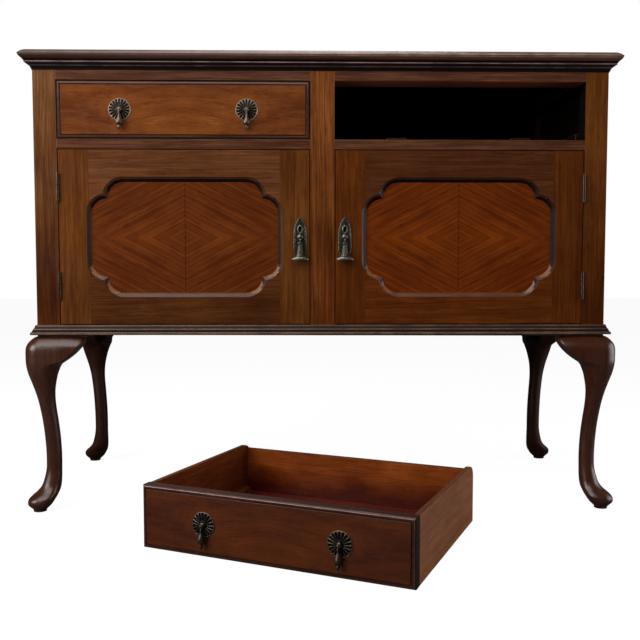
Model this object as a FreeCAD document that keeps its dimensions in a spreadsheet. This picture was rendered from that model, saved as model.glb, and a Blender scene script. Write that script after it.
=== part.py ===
import FreeCAD, Part
import math
import os
import re
import Sketcher

# A sideboard on cabriole legs: two drawers over two cupboards, with the right
# drawer taken out and standing on the floor in front of the cabinet.
# Frame: X to the viewer's right, Y away from the viewer, Z up, millimetres.
# The origin is on the floor, in the middle of the width, under the centre line
# of the front corner posts.

Vector = FreeCAD.Vector
UP = Vector(0, 0, 1)
BACKWARDS = Vector(0, 1, 0)
INWARDS = Vector(0, -1, 0)
SIDES = (("left", -1), ("right", 1))
ENDS = (("front", 1), ("rear", -1))

# Driving dimensions, one value each
SIZES = (
    # Carcass, from the floor up
    ("carcass_width", 1160),
    ("carcass_depth", 450),
    ("leg_height", 359),
    ("stand_rail_thick", 12),
    ("stand_rail_width", 70),
    ("bottom_board_thick", 12),
    ("door_opening_height", 355.5),
    ("drawer_rail_height", 19.5),
    ("drawer_opening_height", 117),
    ("top_rail_height", 35),
    ("rail_depth", 57),
    ("top_board_thick", 21),
    # Posts, ends, partition and back
    ("post_width", 46),
    ("post_depth", 38),
    ("centre_post_width", 49),
    ("rear_post_width", 32),
    ("end_panel_thick", 15),
    ("end_panel_setback", 4),
    ("partition_thick", 16),
    ("back_panel_thick", 6),
    ("back_panel_setback", 8),
    ("dust_board_thick", 6),
    # Screws that hold the back
    ("screw_shank_radius", 1.8),
    ("screw_head_radius", 3.8),
    ("screw_head_height", 1.2),
    ("screw_length", 22),
    ("screw_clearance", 0.05),
    ("screw_rows", 4),
    # Mouldings
    ("top_overhang", 22.3),
    ("cornice_height", 16),
    ("cornice_reach", 13),
    ("base_moulding_height", 20),
    ("base_moulding_reach", 11.6),
    # Legs and their knee wings
    ("leg_stock", 73),
    ("leg_proud", 25),
    ("foot_radius", 24),
    ("foot_inset", 3.5),
    ("foot_pad_radius", 17),
    ("foot_pad_height", 4),
    ("wing_length", 51),
    ("wing_height", 67),
    ("wing_thick", 22),
    ("rear_wing_length", 20),
    ("rear_wing_height", 42),
    # Drawer runs inside the carcass
    ("runner_lap", 14),
    ("guide_height", 22),
    ("guide_gap", 0.8),
    ("kicker_height", 14),
    ("stop_length", 40),
    ("stop_width", 14),
    ("stop_height", 6),
    ("stop_gap", 0.4),
    # Drawers
    ("drawer_side_gap", 1.75),
    ("drawer_lift", 0.3),
    ("drawer_front_height", 114),
    ("drawer_front_thick", 18),
    ("drawer_field_rise", 4),
    ("drawer_field_land", 2.5),
    ("drawer_field_round", 3.5),
    ("drawer_back_room", 60),
    ("drawer_side_thick", 10),
    ("drawer_side_drop", 1),
    ("drawer_side_round", 24),
    ("drawer_back_thick", 8),
    ("drawer_back_drop", 7),
    ("drawer_bottom_thick", 5),
    ("drawer_bottom_rise", 8),
    ("drawer_groove_depth", 5),
    ("slip_width", 9),
    ("groove_clearance", 0.1),
    # Where the loose drawer stands on the floor
    ("loose_drawer_left", 325),
    ("loose_drawer_front", 247),
    ("loose_drawer_angle", 24.6),
    # Drawer handles
    ("rosette_distance", 126),
    ("rosette_radius", 22.5),
    ("rosette_rim", 1.4),
    ("rosette_dome", 4.2),
    ("rosette_petals", 18),
    ("rosette_slot_width", 1.6),
    ("rosette_hub_radius", 7.5),
    ("rosette_hub_height", 5.6),
    ("drop_pivot_reach", 8.4),
    ("drop_length", 41),
    ("drop_bell_radius", 5.2),
    ("drop_neck_radius", 1.5),
    ("drop_tip_radius", 2.9),
    # Pivots of the drops: an eye on a small pin between two ears
    ("pivot_pin_radius", 1),
    ("pivot_clearance", 0.06),
    ("eye_radius", 2.5),
    ("eye_thick", 2.4),
    ("ear_radius", 2.7),
    ("ear_thick", 1.6),
    ("ear_gap", 0.4),
    # Doors
    ("door_gap", 2),
    ("door_thick", 20),
    ("stile_width", 60.5),
    ("door_rail_height", 60.5),
    ("panel_recess", 7),
    ("panel_thick", 6),
    ("panel_groove_depth", 7),
    ("field_inset", 3),
    ("field_moulding_width", 9.3),
    ("field_corner_radius", 33),
    # Door handles, keyholes and locks
    ("handle_inset", 19),
    ("handle_pivot_height", 170),
    ("plate_width", 26),
    ("plate_rise", 47),
    ("plate_fall", 34),
    ("plate_thick", 2),
    ("plate_pivot_reach", 9.5),
    ("keyhole_rise", 23.5),
    ("keyhole_radius", 2.1),
    ("keyhole_slot_width", 1.8),
    ("keyhole_slot_length", 7),
    ("handle_drop_length", 43),
    ("handle_drop_width", 35.6),
    ("handle_drop_depth", 13),
    ("handle_foot_thick", 2.6),
    ("lock_height", 52),
    ("lock_width", 36),
    ("lock_thick", 9),
    ("lock_wall", 1.5),
    ("bolt_height", 16),
    ("bolt_thick", 5),
    ("bolt_length", 28),
    ("bolt_throw", 7),
    ("bolt_setback", 0.5),
    ("bolt_clearance", 0.3),
    # Butt hinges
    ("hinge_height", 54),
    ("hinge_leaf_thick", 0.8),
    ("hinge_leaf_depth", 16),
    ("hinge_knuckle_radius", 3),
    ("hinge_knuckle_gap", 0.3),
    ("hinge_pin_radius", 1.5),
    ("hinge_pin_clearance", 0.05),
    ("hinge_button_radius", 2.6),
    ("hinge_button_height", 1.6),
    ("hinge_low_height", 51),
    ("hinge_high_drop", 48),
    # Overrun of every cutting tool past the wood it leaves
    ("overrun", 5),
)

# Places that follow from the driving dimensions
PLACES = (
    ("half_width", "carcass_width / 2"),
    ("front_y", "-post_depth / 2"),
    ("back_y", "front_y + carcass_depth"),
    ("back_panel_y", "back_y - back_panel_thick"),
    ("board_z", "leg_height + stand_rail_thick"),
    ("cupboard_z", "board_z + bottom_board_thick"),
    ("drawer_rail_z", "cupboard_z + door_opening_height"),
    ("drawer_z", "drawer_rail_z + drawer_rail_height"),
    ("top_rail_z", "drawer_z + drawer_opening_height"),
    ("top_z", "top_rail_z + top_rail_height"),
    ("carcass_height", "top_z - cupboard_z"),
    ("cornice_z", "top_z - cornice_height"),
    ("base_moulding_z", "cupboard_z - base_moulding_height"),
    ("opening_near", "centre_post_width / 2"),
    ("opening_far", "half_width - post_width"),
    ("opening_width", "opening_far - opening_near"),
    ("end_panel_x", "half_width - end_panel_setback - end_panel_thick"),
    ("partition_x", "partition_thick / 2"),
    ("post_back_y", "front_y + post_depth"),
    ("rear_post_y", "back_panel_y - rear_post_width"),
    ("rail_back_y", "front_y + rail_depth"),
    ("drawer_width", "opening_width - 2 * drawer_side_gap"),
    ("drawer_side_height", "drawer_front_height - drawer_side_drop"),
    ("drawer_depth", "back_panel_y - front_y - drawer_back_room"),
    ("drawer_side_length", "drawer_depth - drawer_front_thick"),
    ("drawer_inside", "drawer_width - 2 * drawer_side_thick"),
    ("rosette_height", "drawer_front_height / 2"),
    ("left_drawer_x", "-opening_far + drawer_side_gap"),
    ("left_drawer_y", "front_y"),
    ("left_drawer_z", "drawer_z + drawer_lift"),
    ("left_drawer_angle", "0"),
    ("right_drawer_x", "-loose_drawer_left"),
    ("right_drawer_y", "-loose_drawer_front"),
    ("right_drawer_z", "0"),
    ("right_drawer_angle", "loose_drawer_angle"),
    ("door_width", "opening_width - 2 * door_gap"),
    ("door_height", "door_opening_height - 2 * door_gap"),
    ("door_z", "cupboard_z + door_gap"),
    ("door_near", "opening_near + door_gap"),
    ("door_far", "opening_far - door_gap"),
    ("field_width", "door_width - 2 * stile_width - 2 * field_inset"),
    ("field_height", "door_height - 2 * door_rail_height - 2 * field_inset"),
    ("panel_y", "front_y + panel_recess"),
    ("handle_x", "door_near + handle_inset"),
    ("handle_z", "door_z + handle_pivot_height"),
    ("keyhole_z", "handle_z + keyhole_rise"),
    ("lock_y", "front_y + door_thick - lock_thick"),
    ("bolt_y", "lock_y + (lock_thick - bolt_thick) / 2"),
    ("hinge_x", "opening_far - door_gap / 2"),
    ("hinge_y", "front_y - hinge_knuckle_radius - hinge_knuckle_gap"),
)

doc = FreeCAD.newDocument("Sideboard")
sheet = doc.addObject("Spreadsheet::Sheet", "Sizes")
for row, (name, value) in enumerate(SIZES, start=1):
    sheet.set(f"A{row}", name)
    sheet.set(f"B{row}", str(value))
    sheet.setAlias(f"B{row}", name)
doc.recompute()

HOLDER = {name: "Sizes" for name, value in SIZES}
HOLDER.update({name: "Places" for name, formula in PLACES})


def named(formula):
    """Formula with the holder put before each size or place in it."""
    return re.sub(r"[a-z][a-z_]+", lambda word: HOLDER[word[0]] + "." + word[0]
                  if word[0] in HOLDER else word[0], formula)


places = doc.addObject("App::VarSet", "Places")
for name, formula in PLACES:
    places.addProperty("App::PropertyFloat", name)
for name, formula in PLACES:
    places.setExpression(name, named(formula))
doc.recompute()


def size(name):
    """Value of a driving dimension or of a place."""
    if HOLDER[name] == "Sizes":
        return float(sheet.get(name))
    return float(getattr(places, name))


def bind(piece, prop, formula):
    """Tie one property of a piece to a formula in named sizes."""
    piece.setExpression(prop, named(formula))


def seat(piece, at, frame=None):
    """Place a piece in the carcass frame, or in the frame of one drawer."""
    if frame is None:
        for axis, formula in zip("xyz", at):
            bind(piece, f".Placement.Base.{axis}", formula)
        return piece
    across, back, up = at
    turn = f"{frame}_angle"
    bind(piece, ".Placement.Base.x", f"{frame}_x + ({across}) * cos({turn}) + ({back}) * sin({turn})")
    bind(piece, ".Placement.Base.y", f"{frame}_y - ({across}) * sin({turn}) + ({back}) * cos({turn})")
    bind(piece, ".Placement.Base.z", f"{frame}_z + ({up})")
    bind(piece, ".Placement.Rotation.Angle", f"-{turn}")
    return piece


def box(name, lengths, at, frame=None):
    """Board with its low corner at a place."""
    board = doc.addObject("Part::Box", name)
    for prop, formula in zip(("Length", "Width", "Height"), lengths):
        bind(board, prop, formula)
    return seat(board, at, frame)


def low_x(sign, near, width):
    """Low X of a piece that starts at a distance from the middle, on one side."""
    return f"{near}" if sign > 0 else f"-({near}) - ({width})"


def cut(name, base, *tools):
    """Piece with tools taken out of it."""
    for number, tool in enumerate(tools):
        last = number == len(tools) - 1
        less = doc.addObject("Part::Cut", name if last else f"{name}_step")
        less.Base = base
        less.Tool = tool
        base = less
    return base


def group(name, pieces):
    """Like pieces that share one node, each still its own solid."""
    together = doc.addObject("Part::Compound", name)
    together.Links = list(pieces)
    return together


def shaped(name, shape):
    """Piece whose shape comes from lofts and extrusions."""
    piece = doc.addObject("Part::Feature", name)
    piece.Shape = shape
    return piece


nodes = []


def node(label, piece):
    """Name a finished sub-part."""
    piece.Label = label
    nodes.append(piece)
    return piece


def polygon(points):
    """Closed flat face through points."""
    return Part.Face(Part.makePolygon(list(points) + [points[0]]))


# Sketch helpers for the turned and cast pieces

def plane_of(body, role):
    return [part for part in body.Origin.OriginFeatures if part.Role == role][0]


def sketch(body, name, role):
    drawing = body.newObject("Sketcher::SketchObject", name)
    drawing.AttachmentSupport = [(plane_of(body, role), "")]
    drawing.MapMode = "FlatFace"
    return drawing


def value_of(formula):
    """Number that a formula in named sizes gives now."""
    return float(places.evalExpression(named(formula)))


def outline(drawing, points):
    """Closed outline of straight lines through points given as formulas."""
    spots = [Vector(value_of(x), value_of(y), 0) for x, y in points]
    for number, spot in enumerate(spots):
        drawing.addGeometry(Part.LineSegment(spot, spots[(number + 1) % len(spots)]), False)
    for number in range(len(spots)):
        drawing.addConstraint(Sketcher.Constraint("Coincident", number, 2, (number + 1) % len(spots), 1))
    for number, place in enumerate(points):
        first = drawing.addConstraint(Sketcher.Constraint("DistanceX", -1, 1, number, 1, spots[number].x))
        drawing.setExpression(f"Constraints[{first}]", named(place[0]))
        second = drawing.addConstraint(Sketcher.Constraint("DistanceY", -1, 1, number, 1, spots[number].y))
        drawing.setExpression(f"Constraints[{second}]", named(place[1]))


def ring(drawing, centre, radius):
    """Circle with its centre and radius given as formulas."""
    spot = Vector(value_of(centre[0]), value_of(centre[1]), 0)
    edge = drawing.addGeometry(Part.Circle(spot, UP, value_of(radius)), False)
    number = drawing.addConstraint(Sketcher.Constraint("Radius", edge, value_of(radius)))
    drawing.setExpression(f"Constraints[{number}]", named(radius))
    for kind, formula, value in (("DistanceX", centre[0], spot.x), ("DistanceY", centre[1], spot.y)):
        number = drawing.addConstraint(Sketcher.Constraint(kind, -1, 1, edge, 3, value))
        drawing.setExpression(f"Constraints[{number}]", named(formula))


def body_named(name):
    return doc.addObject("PartDesign::Body", name)


def pad(body, drawing, length, middle=False, backward=False):
    added = body.newObject("PartDesign::Pad", f"{drawing.Name}_pad")
    added.Profile = drawing
    added.Midplane = middle
    added.Reversed = backward
    bind(added, "Length", length)
    return added


def pocket(body, drawing, length, middle=False, backward=False):
    taken = body.newObject("PartDesign::Pocket", f"{drawing.Name}_pocket")
    taken.Profile = drawing
    taken.Midplane = middle
    taken.Reversed = backward
    bind(taken, "Length", length)
    return taken


def revolve(body, drawing, axis):
    turned = body.newObject("PartDesign::Revolution", f"{drawing.Name}_turn")
    turned.Profile = drawing
    turned.ReferenceAxis = (drawing, [axis])
    turned.Angle = 360
    return turned


# Carcass boards: posts, rails, ends, partition and bottom

def corner_box(name, sign, near, lengths, low_y, low_z):
    """Board on one side of the middle, its near face at a distance from it."""
    return box(name, lengths, (low_x(sign, near, lengths[0]), low_y, low_z))


def front_posts():
    posts = [corner_box(f"{side}_front_post", sign, "opening_far",
                        ("post_width", "post_depth", "carcass_height"), "front_y", "cupboard_z")
             for side, sign in SIDES]
    return group("front_posts", posts)


def screw_spots():
    """X and Z of the screws of the back: up each rear post and the partition."""
    edge = size("half_width") - size("rear_post_width") / 2
    rows = int(size("screw_rows"))
    step = size("carcass_height") / rows
    first = size("cupboard_z") + step / 2
    return [(x, first + number * step) for x in (-edge, 0, edge) for number in range(rows)]


def screw_holes(radius):
    """Holes of the back screws, as one tool."""
    holes = [Part.makeCylinder(radius, size("screw_length") + size("overrun"),
                               Vector(x, size("back_y") + size("overrun"), z), INWARDS)
             for x, z in screw_spots()]
    return Part.makeCompound(holes)


def bored(name, piece):
    """Piece with the holes of the back screws in it."""
    holes = shaped(f"{name}_holes", screw_holes(size("screw_shank_radius") + size("screw_clearance")))
    return cut(name, piece, holes)


def rear_posts():
    posts = [bored(f"{side}_rear_post_bored",
                   corner_box(f"{side}_rear_post", sign, "half_width - rear_post_width",
                              ("rear_post_width", "rear_post_width", "carcass_height"),
                              "rear_post_y", "cupboard_z"))
             for side, sign in SIDES]
    return group("rear_posts", posts)


def end_panels():
    panels = [corner_box(f"{side}_end_panel", sign, "end_panel_x",
                         ("end_panel_thick", "rear_post_y - post_back_y", "carcass_height"),
                         "post_back_y", "cupboard_z")
              for side, sign in SIDES]
    return group("end_panels", panels)


def front_rails(name, height, low_z):
    """One rail over each opening, between a corner post and the centre post."""
    rails = [corner_box(f"{name}_{side}", sign, "opening_near",
                        ("opening_width", "rail_depth", height), "front_y", low_z)
             for side, sign in SIDES]
    return group(name, rails)


def centre_post():
    """Middle post, with a mortise on each side for the bolt of a door lock."""
    post = box("centre_post_stock", ("centre_post_width", "post_depth", "carcass_height"),
               ("-centre_post_width / 2", "front_y", "cupboard_z"))
    depth = "bolt_throw + bolt_clearance"
    mortises = [corner_box(f"{side}_bolt_mortise", sign, f"opening_near - {depth}",
                           (f"{depth} + overrun", "bolt_thick + 2 * bolt_clearance",
                            "bolt_height + 2 * bolt_clearance"),
                           "bolt_y - bolt_clearance", "keyhole_z - bolt_height / 2 - bolt_clearance")
                for side, sign in SIDES]
    return cut("centre_post", post, *mortises)


def partition():
    board = box("partition_board", ("partition_thick", "back_panel_y - post_back_y", "carcass_height"),
                ("-partition_x", "post_back_y", "cupboard_z"))
    return bored("partition", board)


def back_panel():
    board = box("back_panel_board", ("carcass_width - 2 * back_panel_setback", "back_panel_thick",
                                     "carcass_height"),
                ("-half_width + back_panel_setback", "back_panel_y", "cupboard_z"))
    return bored("back_panel", board)


def back_screws():
    """Domed screws through the back into the posts and the partition."""
    screws = []
    for x, z in screw_spots():
        start = Vector(x, size("back_y"), z)
        shank = Part.makeCylinder(size("screw_shank_radius"), size("screw_length"), start, INWARDS)
        head = Part.makeCylinder(size("screw_head_radius"), size("screw_head_height"), start, BACKWARDS)
        screws.append(shank.fuse(head).removeSplitter())
    return shaped("back_screws", Part.makeCompound(screws))


def bottom_board():
    return box("bottom_board", ("carcass_width", "carcass_depth", "bottom_board_thick"),
               ("-half_width", "front_y", "board_z"))


def stand_rails():
    """Flat frame that the legs are screwed to, as two long and two short rails."""
    long_rails = [box(f"{end}_stand_rail", ("carcass_width", "stand_rail_width", "stand_rail_thick"),
                      ("-half_width", low_y, "leg_height"))
                  for end, low_y in (("front", "front_y"), ("rear", "back_y - stand_rail_width"))]
    short_rails = [corner_box(f"{side}_stand_rail", sign, "half_width - stand_rail_width",
                              ("stand_rail_width", "carcass_depth - 2 * stand_rail_width",
                               "stand_rail_thick"), "front_y + stand_rail_width", "leg_height")
                   for side, sign in SIDES]
    return group("stand_frame", long_rails + short_rails)


# Drawer runs: dust boards, runners, guides, kickers and stops

def dust_boards():
    low_z = "drawer_rail_z + (drawer_rail_height - dust_board_thick) / 2"
    boards = []
    for side, sign in SIDES:
        near = "opening_near + runner_lap"
        far = "opening_far - runner_lap"
        boards.append(corner_box(f"{side}_dust_board", sign, near,
                                 (f"{far} - ({near})", "back_panel_y - rail_back_y", "dust_board_thick"),
                                 "rail_back_y", low_z))
    return group("dust_boards", boards)


def side_runs(name, lap, height, low_z, front):
    """Strips along both sides of both drawer spaces, lapping under or over the drawers."""
    strips = []
    for side, sign in SIDES:
        inner = f"opening_near + ({lap})"
        outer = f"opening_far - ({lap})"
        strips.append(corner_box(f"{name}_{side}_inner", sign, "partition_x",
                                 (f"{inner} - partition_x", f"back_panel_y - {front}", height),
                                 front, low_z))
        strips.append(corner_box(f"{name}_{side}_outer", sign, outer,
                                 (f"end_panel_x - ({outer})", f"rear_post_y - {front}", height),
                                 front, low_z))
    return group(name, strips)


# Middle of each stop as a share of the opening's width
STOP_SHARES = (0.25, 0.75)


def drawer_stops():
    """Small blocks on the drawer rails that stop each drawer front at the frame."""
    stops = []
    for side, sign in SIDES:
        for number, share in enumerate(STOP_SHARES):
            near = f"opening_near + opening_width * {share} - stop_length / 2"
            stops.append(corner_box(f"{side}_stop_{number + 1}", sign, near,
                                    ("stop_length", "stop_width", "stop_height"),
                                    "front_y + drawer_front_thick + stop_gap", "drawer_z"))
    return group("drawer_stops", stops)


# Mouldings, as shares of their reach and height, from the foot up.
# Each entry is reach, height and the bulge of the arc that leads to it.

TOP_EDGE_SHARES = (
    (0.62, 0.00, 0.0),
    (0.66, 0.10, 0.0),
    (0.98, 0.42, -0.10),
    (1.00, 0.58, 0.20),
    (0.86, 0.66, 0.12),
    (0.50, 1.00, 0.12),
)
CORNICE_SHARES = (
    (0.10, 0.00, 0.0),
    (0.16, 0.14, 0.0),
    (0.62, 0.50, -0.14),
    (0.70, 0.56, 0.0),
    (0.92, 0.86, 0.16),
    (1.00, 0.90, 0.0),
    (1.00, 1.00, 0.25),
)
BASE_EDGE_SHARES = (
    (1.00, 0.00, 0.0),
    (1.00, 0.20, 0.0),
    (0.76, 0.40, 0.16),
    (0.70, 0.46, 0.0),
    (0.42, 0.78, -0.14),
    (0.34, 0.82, 0.0),
    (0.30, 1.00, 0.16),
)


def moulded_edges(shares, reach, height, along, low_z, flip):
    """Edges of one moulded side, from the foot up, in a plane across a run."""
    def spot(share):
        return along * (share[0] * reach * flip) + UP * (low_z + share[1] * height)

    edges = []
    for first, second in zip(shares, shares[1:]):
        start, end = spot(first), spot(second)
        if second[2]:
            chord = end - start
            across = along * (flip * chord.z) - UP * (flip * chord.dot(along))
            middle = (start + end) / 2 + across * second[2]
            edges.append(Part.Arc(start, middle, end).toShape())
        else:
            edges.append(Part.LineSegment(start, end).toShape())
    return edges


def moulded_section(shares, reach, height, along, low_z, low, high, low_moulded=True):
    """Cross section of a board with one or both of its edges moulded."""
    high_edges = moulded_edges(shares, reach, height, along, low_z, 1)
    high_edges = [edge.translated(along * high) for edge in high_edges]
    if low_moulded:
        low_edges = moulded_edges(shares, reach, height, along, low_z, -1)
        low_edges = [edge.translated(along * low) for edge in low_edges]
        low_foot = along * (low - shares[0][0] * reach) + UP * low_z
        low_head = along * (low - shares[-1][0] * reach) + UP * (low_z + height)
    else:
        low_foot = along * low + UP * low_z
        low_head = along * low + UP * (low_z + height)
        low_edges = [Part.LineSegment(low_foot, low_head).toShape()]
    high_foot = along * (high + shares[0][0] * reach) + UP * low_z
    high_head = along * (high + shares[-1][0] * reach) + UP * (low_z + height)
    foot = Part.LineSegment(low_foot, high_foot).toShape()
    head = Part.LineSegment(low_head, high_head).toShape()
    edges = Part.__sortEdges__(high_edges + low_edges + [foot, head])
    return Part.Face(Part.Wire(edges))


def moulded_board(shares, reach, height, low_z):
    """Board over the carcass with its front and both ends moulded, its back square."""
    half = size("half_width")
    front, back = size("front_y"), size("back_y")
    span = reach + size("overrun")
    across = moulded_section(shares, reach, height, Vector(1, 0, 0), low_z, -half, half)
    across = across.translated(Vector(0, front - span, 0)).extrude(Vector(0, back - front + 2 * span, 0))
    along = Vector(0, -1, 0)
    lengthwise = moulded_section(shares, reach, height, along, low_z, -back, -front, low_moulded=False)
    lengthwise = lengthwise.translated(Vector(-half - span, 0, 0)).extrude(Vector(2 * (half + span), 0, 0))
    return across.common(lengthwise)


def carcass_block(low_z, height):
    """Space that the carcass itself fills, between two levels."""
    block = Part.makeBox(size("carcass_width"), size("carcass_depth") + size("overrun"), height)
    block.translate(Vector(-size("half_width"), size("front_y"), low_z))
    return block


def mitred(board, low_z, height, reach):
    """The three lengths of a moulding, mitred at the front corners."""
    half, front = size("half_width"), size("front_y")
    far = reach + size("overrun")
    back = size("back_y") + far
    plans = (
        (Vector(-half - far, front - far, low_z), Vector(half + far, front - far, low_z),
         Vector(half, front, low_z), Vector(-half, front, low_z)),
        (Vector(-half - far, front - far, low_z), Vector(-half, front, low_z),
         Vector(-half, back, low_z), Vector(-half - far, back, low_z)),
        (Vector(half + far, front - far, low_z), Vector(half + far, back, low_z),
         Vector(half, back, low_z), Vector(half, front, low_z)),
    )
    return [board.common(polygon(plan).extrude(UP * height)) for plan in plans]


def moulding(name, shares, reach, height, low_z):
    board = moulded_board(shares, reach, height, low_z)
    ring_only = board.cut(carcass_block(low_z, height))
    return shaped(name, Part.makeCompound(mitred(ring_only, low_z, height, reach)))


# Cabriole legs, in the frame of one carcass corner: X and Y run inwards from it

# Height as a share of the leg, outer and inner face as shares of the stock
# from the corner (outer faces out, inner faces in), corner round as a share of
# the section's width.
LEG_SHARES = (
    (1.000, 0.12, 0.657, 0.22),
    (0.983, 0.26, 0.657, 0.28),
    (0.945, 0.325, 0.657, 0.34),
    (0.900, 0.342, 0.650, 0.36),
    (0.845, 0.322, 0.620, 0.37),
    (0.760, 0.220, 0.470, 0.40),
    (0.690, 0.115, 0.425, 0.42),
    (0.580, -0.030, 0.470, 0.44),
    (0.470, -0.122, 0.525, 0.45),
    (0.340, -0.161, 0.558, 0.46),
    (0.235, -0.153, 0.560, 0.46),
    (0.170, -0.100, 0.550, 0.46),
    (0.125, 0.030, 0.515, 0.46),
    (0.090, 0.160, 0.470, 0.47),
)
# Foot sections: radius as a share of the foot's, level as a share of the pad's
# height, and the corner round that makes them all but round.
FOOT_SHARES = ((0.80, 1.0), (1.0, 2.4), (0.98, 5.0))
FOOT_ROUND_SHARE = 0.48
# Knee wing: middle of its curved foot along its length and down its height,
# how much of the knee's swell its face keeps, and how far down the knee it follows.
WING_CURVE_SHARES = (0.58, 0.62)
WING_SWELL_SHARE = 0.86
WING_FOLLOW_SHARE = 1.4


def rounded_square(low, high, level, round_share):
    """Square from low to high along both axes, with round corners."""
    across = high - low
    radius = across * round_share
    inner_low, inner_high = low + radius, high - radius
    part = radius * (1 - math.sqrt(0.5))
    corners = (
        ((inner_high, low), (high - part, low + part), (high, inner_low)),
        ((high, inner_high), (high - part, high - part), (inner_high, high)),
        ((inner_low, high), (low + part, high - part), (low, inner_high)),
        ((low, inner_low), (low + part, low + part), (inner_low, low)),
    )
    arcs = [[Vector(x, y, level) for x, y in corner] for corner in corners]
    edges = []
    for arc, after in zip(arcs, arcs[1:] + arcs[:1]):
        edges.append(Part.Arc(*arc).toShape())
        edges.append(Part.LineSegment(arc[-1], after[0]).toShape())
    return Part.Wire(edges)


def leg_shape():
    """Cabriole leg with a round pad foot."""
    height, stock = size("leg_height"), size("leg_stock")
    inset, radius = size("foot_inset"), size("foot_radius")
    pad_height = size("foot_pad_height")
    sections = [rounded_square(inset - radius * share, inset + radius * share, level_share * pad_height,
                               FOOT_ROUND_SHARE) for share, level_share in FOOT_SHARES]
    for level, outer, inner, round_share in reversed(LEG_SHARES):
        sections.append(rounded_square(-outer * stock, inner * stock, level * height, round_share))
    body = Part.makeLoft(sections, True, False)
    foot = Part.makeCylinder(size("foot_pad_radius"), pad_height, Vector(inset, inset, 0))
    return body.fuse(foot)


def wing_shape(leg, length, height):
    """Knee wing beside a leg, fitted to its knee: X runs along the carcass, Y inwards."""
    stock, top = size("leg_stock"), size("leg_height")
    thick, proud = size("wing_thick"), size("leg_proud")
    start = stock * LEG_SHARES[2][2]
    head, heel = Vector(start, 0, top), Vector(start, 0, top - height)
    along_share, down_share = WING_CURVE_SHARES
    bend = Vector(start + along_share * length, 0, top - down_share * height)
    toe = Vector(start + length, 0, top)
    edges = [Part.LineSegment(head, heel), Part.Arc(heel, bend, toe), Part.LineSegment(toe, head)]
    face = Part.Face(Part.Wire([edge.toShape() for edge in edges]))
    slab = face.translated(Vector(0, -proud, 0)).extrude(Vector(0, proud + thick, 0))
    lowest = top - WING_FOLLOW_SHARE * height
    front = [Vector(0, -outer * stock * WING_SWELL_SHARE, level * top)
             for level, outer, inner, round_share in LEG_SHARES if level * top > lowest]
    back = [Vector(0, thick, front[-1].z), Vector(0, thick, top)]
    curve = Part.BSplineCurve()
    curve.interpolate(front)
    straight = [Part.LineSegment(front[-1], back[0]), Part.LineSegment(back[0], back[1]),
                Part.LineSegment(back[1], front[0])]
    side = Part.Face(Part.Wire([curve.toShape()] + [edge.toShape() for edge in straight]))
    run = side.translated(Vector(start, 0, 0)).extrude(Vector(length, 0, 0))
    return slab.common(run).cut(leg)


def to_corner(shape, side_sign, end_sign):
    """Move a shape from the corner frame to one corner of the carcass."""
    moved = shape.copy()
    if side_sign > 0:
        moved = moved.mirror(Vector(0, 0, 0), Vector(1, 0, 0))
    if end_sign < 0:
        moved = moved.mirror(Vector(0, 0, 0), Vector(0, 1, 0))
    corner_y = size("front_y") if end_sign > 0 else size("back_y")
    moved.translate(Vector(side_sign * size("half_width"), corner_y, 0))
    return moved


def knee_wings(leg):
    """Two wings at each leg, the ones along the back being short."""
    long_wing = wing_shape(leg, size("wing_length"), size("wing_height"))
    short_wing = wing_shape(leg, size("rear_wing_length"), size("rear_wing_height"))
    swap = Vector(1, -1, 0)
    wings = []
    for end, end_sign in ENDS:
        along_front = long_wing if end_sign > 0 else short_wing
        along_side = long_wing.mirror(Vector(0, 0, 0), swap)
        for side, side_sign in SIDES:
            wings.append(to_corner(along_front, side_sign, end_sign))
            wings.append(to_corner(along_side, side_sign, end_sign))
    return shaped("knee_wings", Part.makeCompound(wings))


# Drawers, in their own frame: across from the left end, back from the front, up

# Largest gap between two points that are one
TOUCHING = 1e-6


def drawer_front(drawer):
    """Front board with a raised field whose edges are rounded."""
    body = body_named(f"{drawer}_front")
    base = sketch(body, f"{drawer}_front_base", "XZ_Plane")
    outline(base, (("0", "0"), ("drawer_width", "0"), ("drawer_width", "drawer_front_height"),
                   ("0", "drawer_front_height")))
    pad(body, base, "drawer_front_thick", backward=True)
    field = sketch(body, f"{drawer}_front_field", "XZ_Plane")
    outline(field, (("drawer_field_land", "drawer_field_land"),
                    ("drawer_width - drawer_field_land", "drawer_field_land"),
                    ("drawer_width - drawer_field_land", "drawer_front_height - drawer_field_land"),
                    ("drawer_field_land", "drawer_front_height - drawer_field_land")))
    raised = pad(body, field, "drawer_field_rise")
    doc.recompute()
    rim = [f"Edge{number + 1}" for number, edge in enumerate(raised.Shape.Edges)
           if all(abs(vertex.Y + size("drawer_field_rise")) < TOUCHING for vertex in edge.Vertexes)]
    rounded = body.newObject("PartDesign::Fillet", f"{drawer}_front_round")
    rounded.Base = (raised, rim)
    bind(rounded, "Radius", "drawer_field_round")
    groove = sketch(body, f"{drawer}_front_groove", "XZ_Plane")
    low = "drawer_bottom_rise - groove_clearance"
    high = "drawer_bottom_rise + drawer_bottom_thick + groove_clearance"
    near = "drawer_side_thick - drawer_groove_depth"
    far = f"drawer_width - ({near})"
    outline(groove, ((near, low), (far, low), (far, high), (near, high)))
    groove.AttachmentOffset = FreeCAD.Placement(
        Vector(0, 0, -size("drawer_front_thick") + size("drawer_groove_depth")), FreeCAD.Rotation())
    bind(groove, ".AttachmentOffset.Base.z", "-drawer_front_thick + drawer_groove_depth")
    pocket(body, groove, "drawer_groove_depth + overrun")
    return seat(body, ("0", "0", "0"), drawer)


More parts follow.
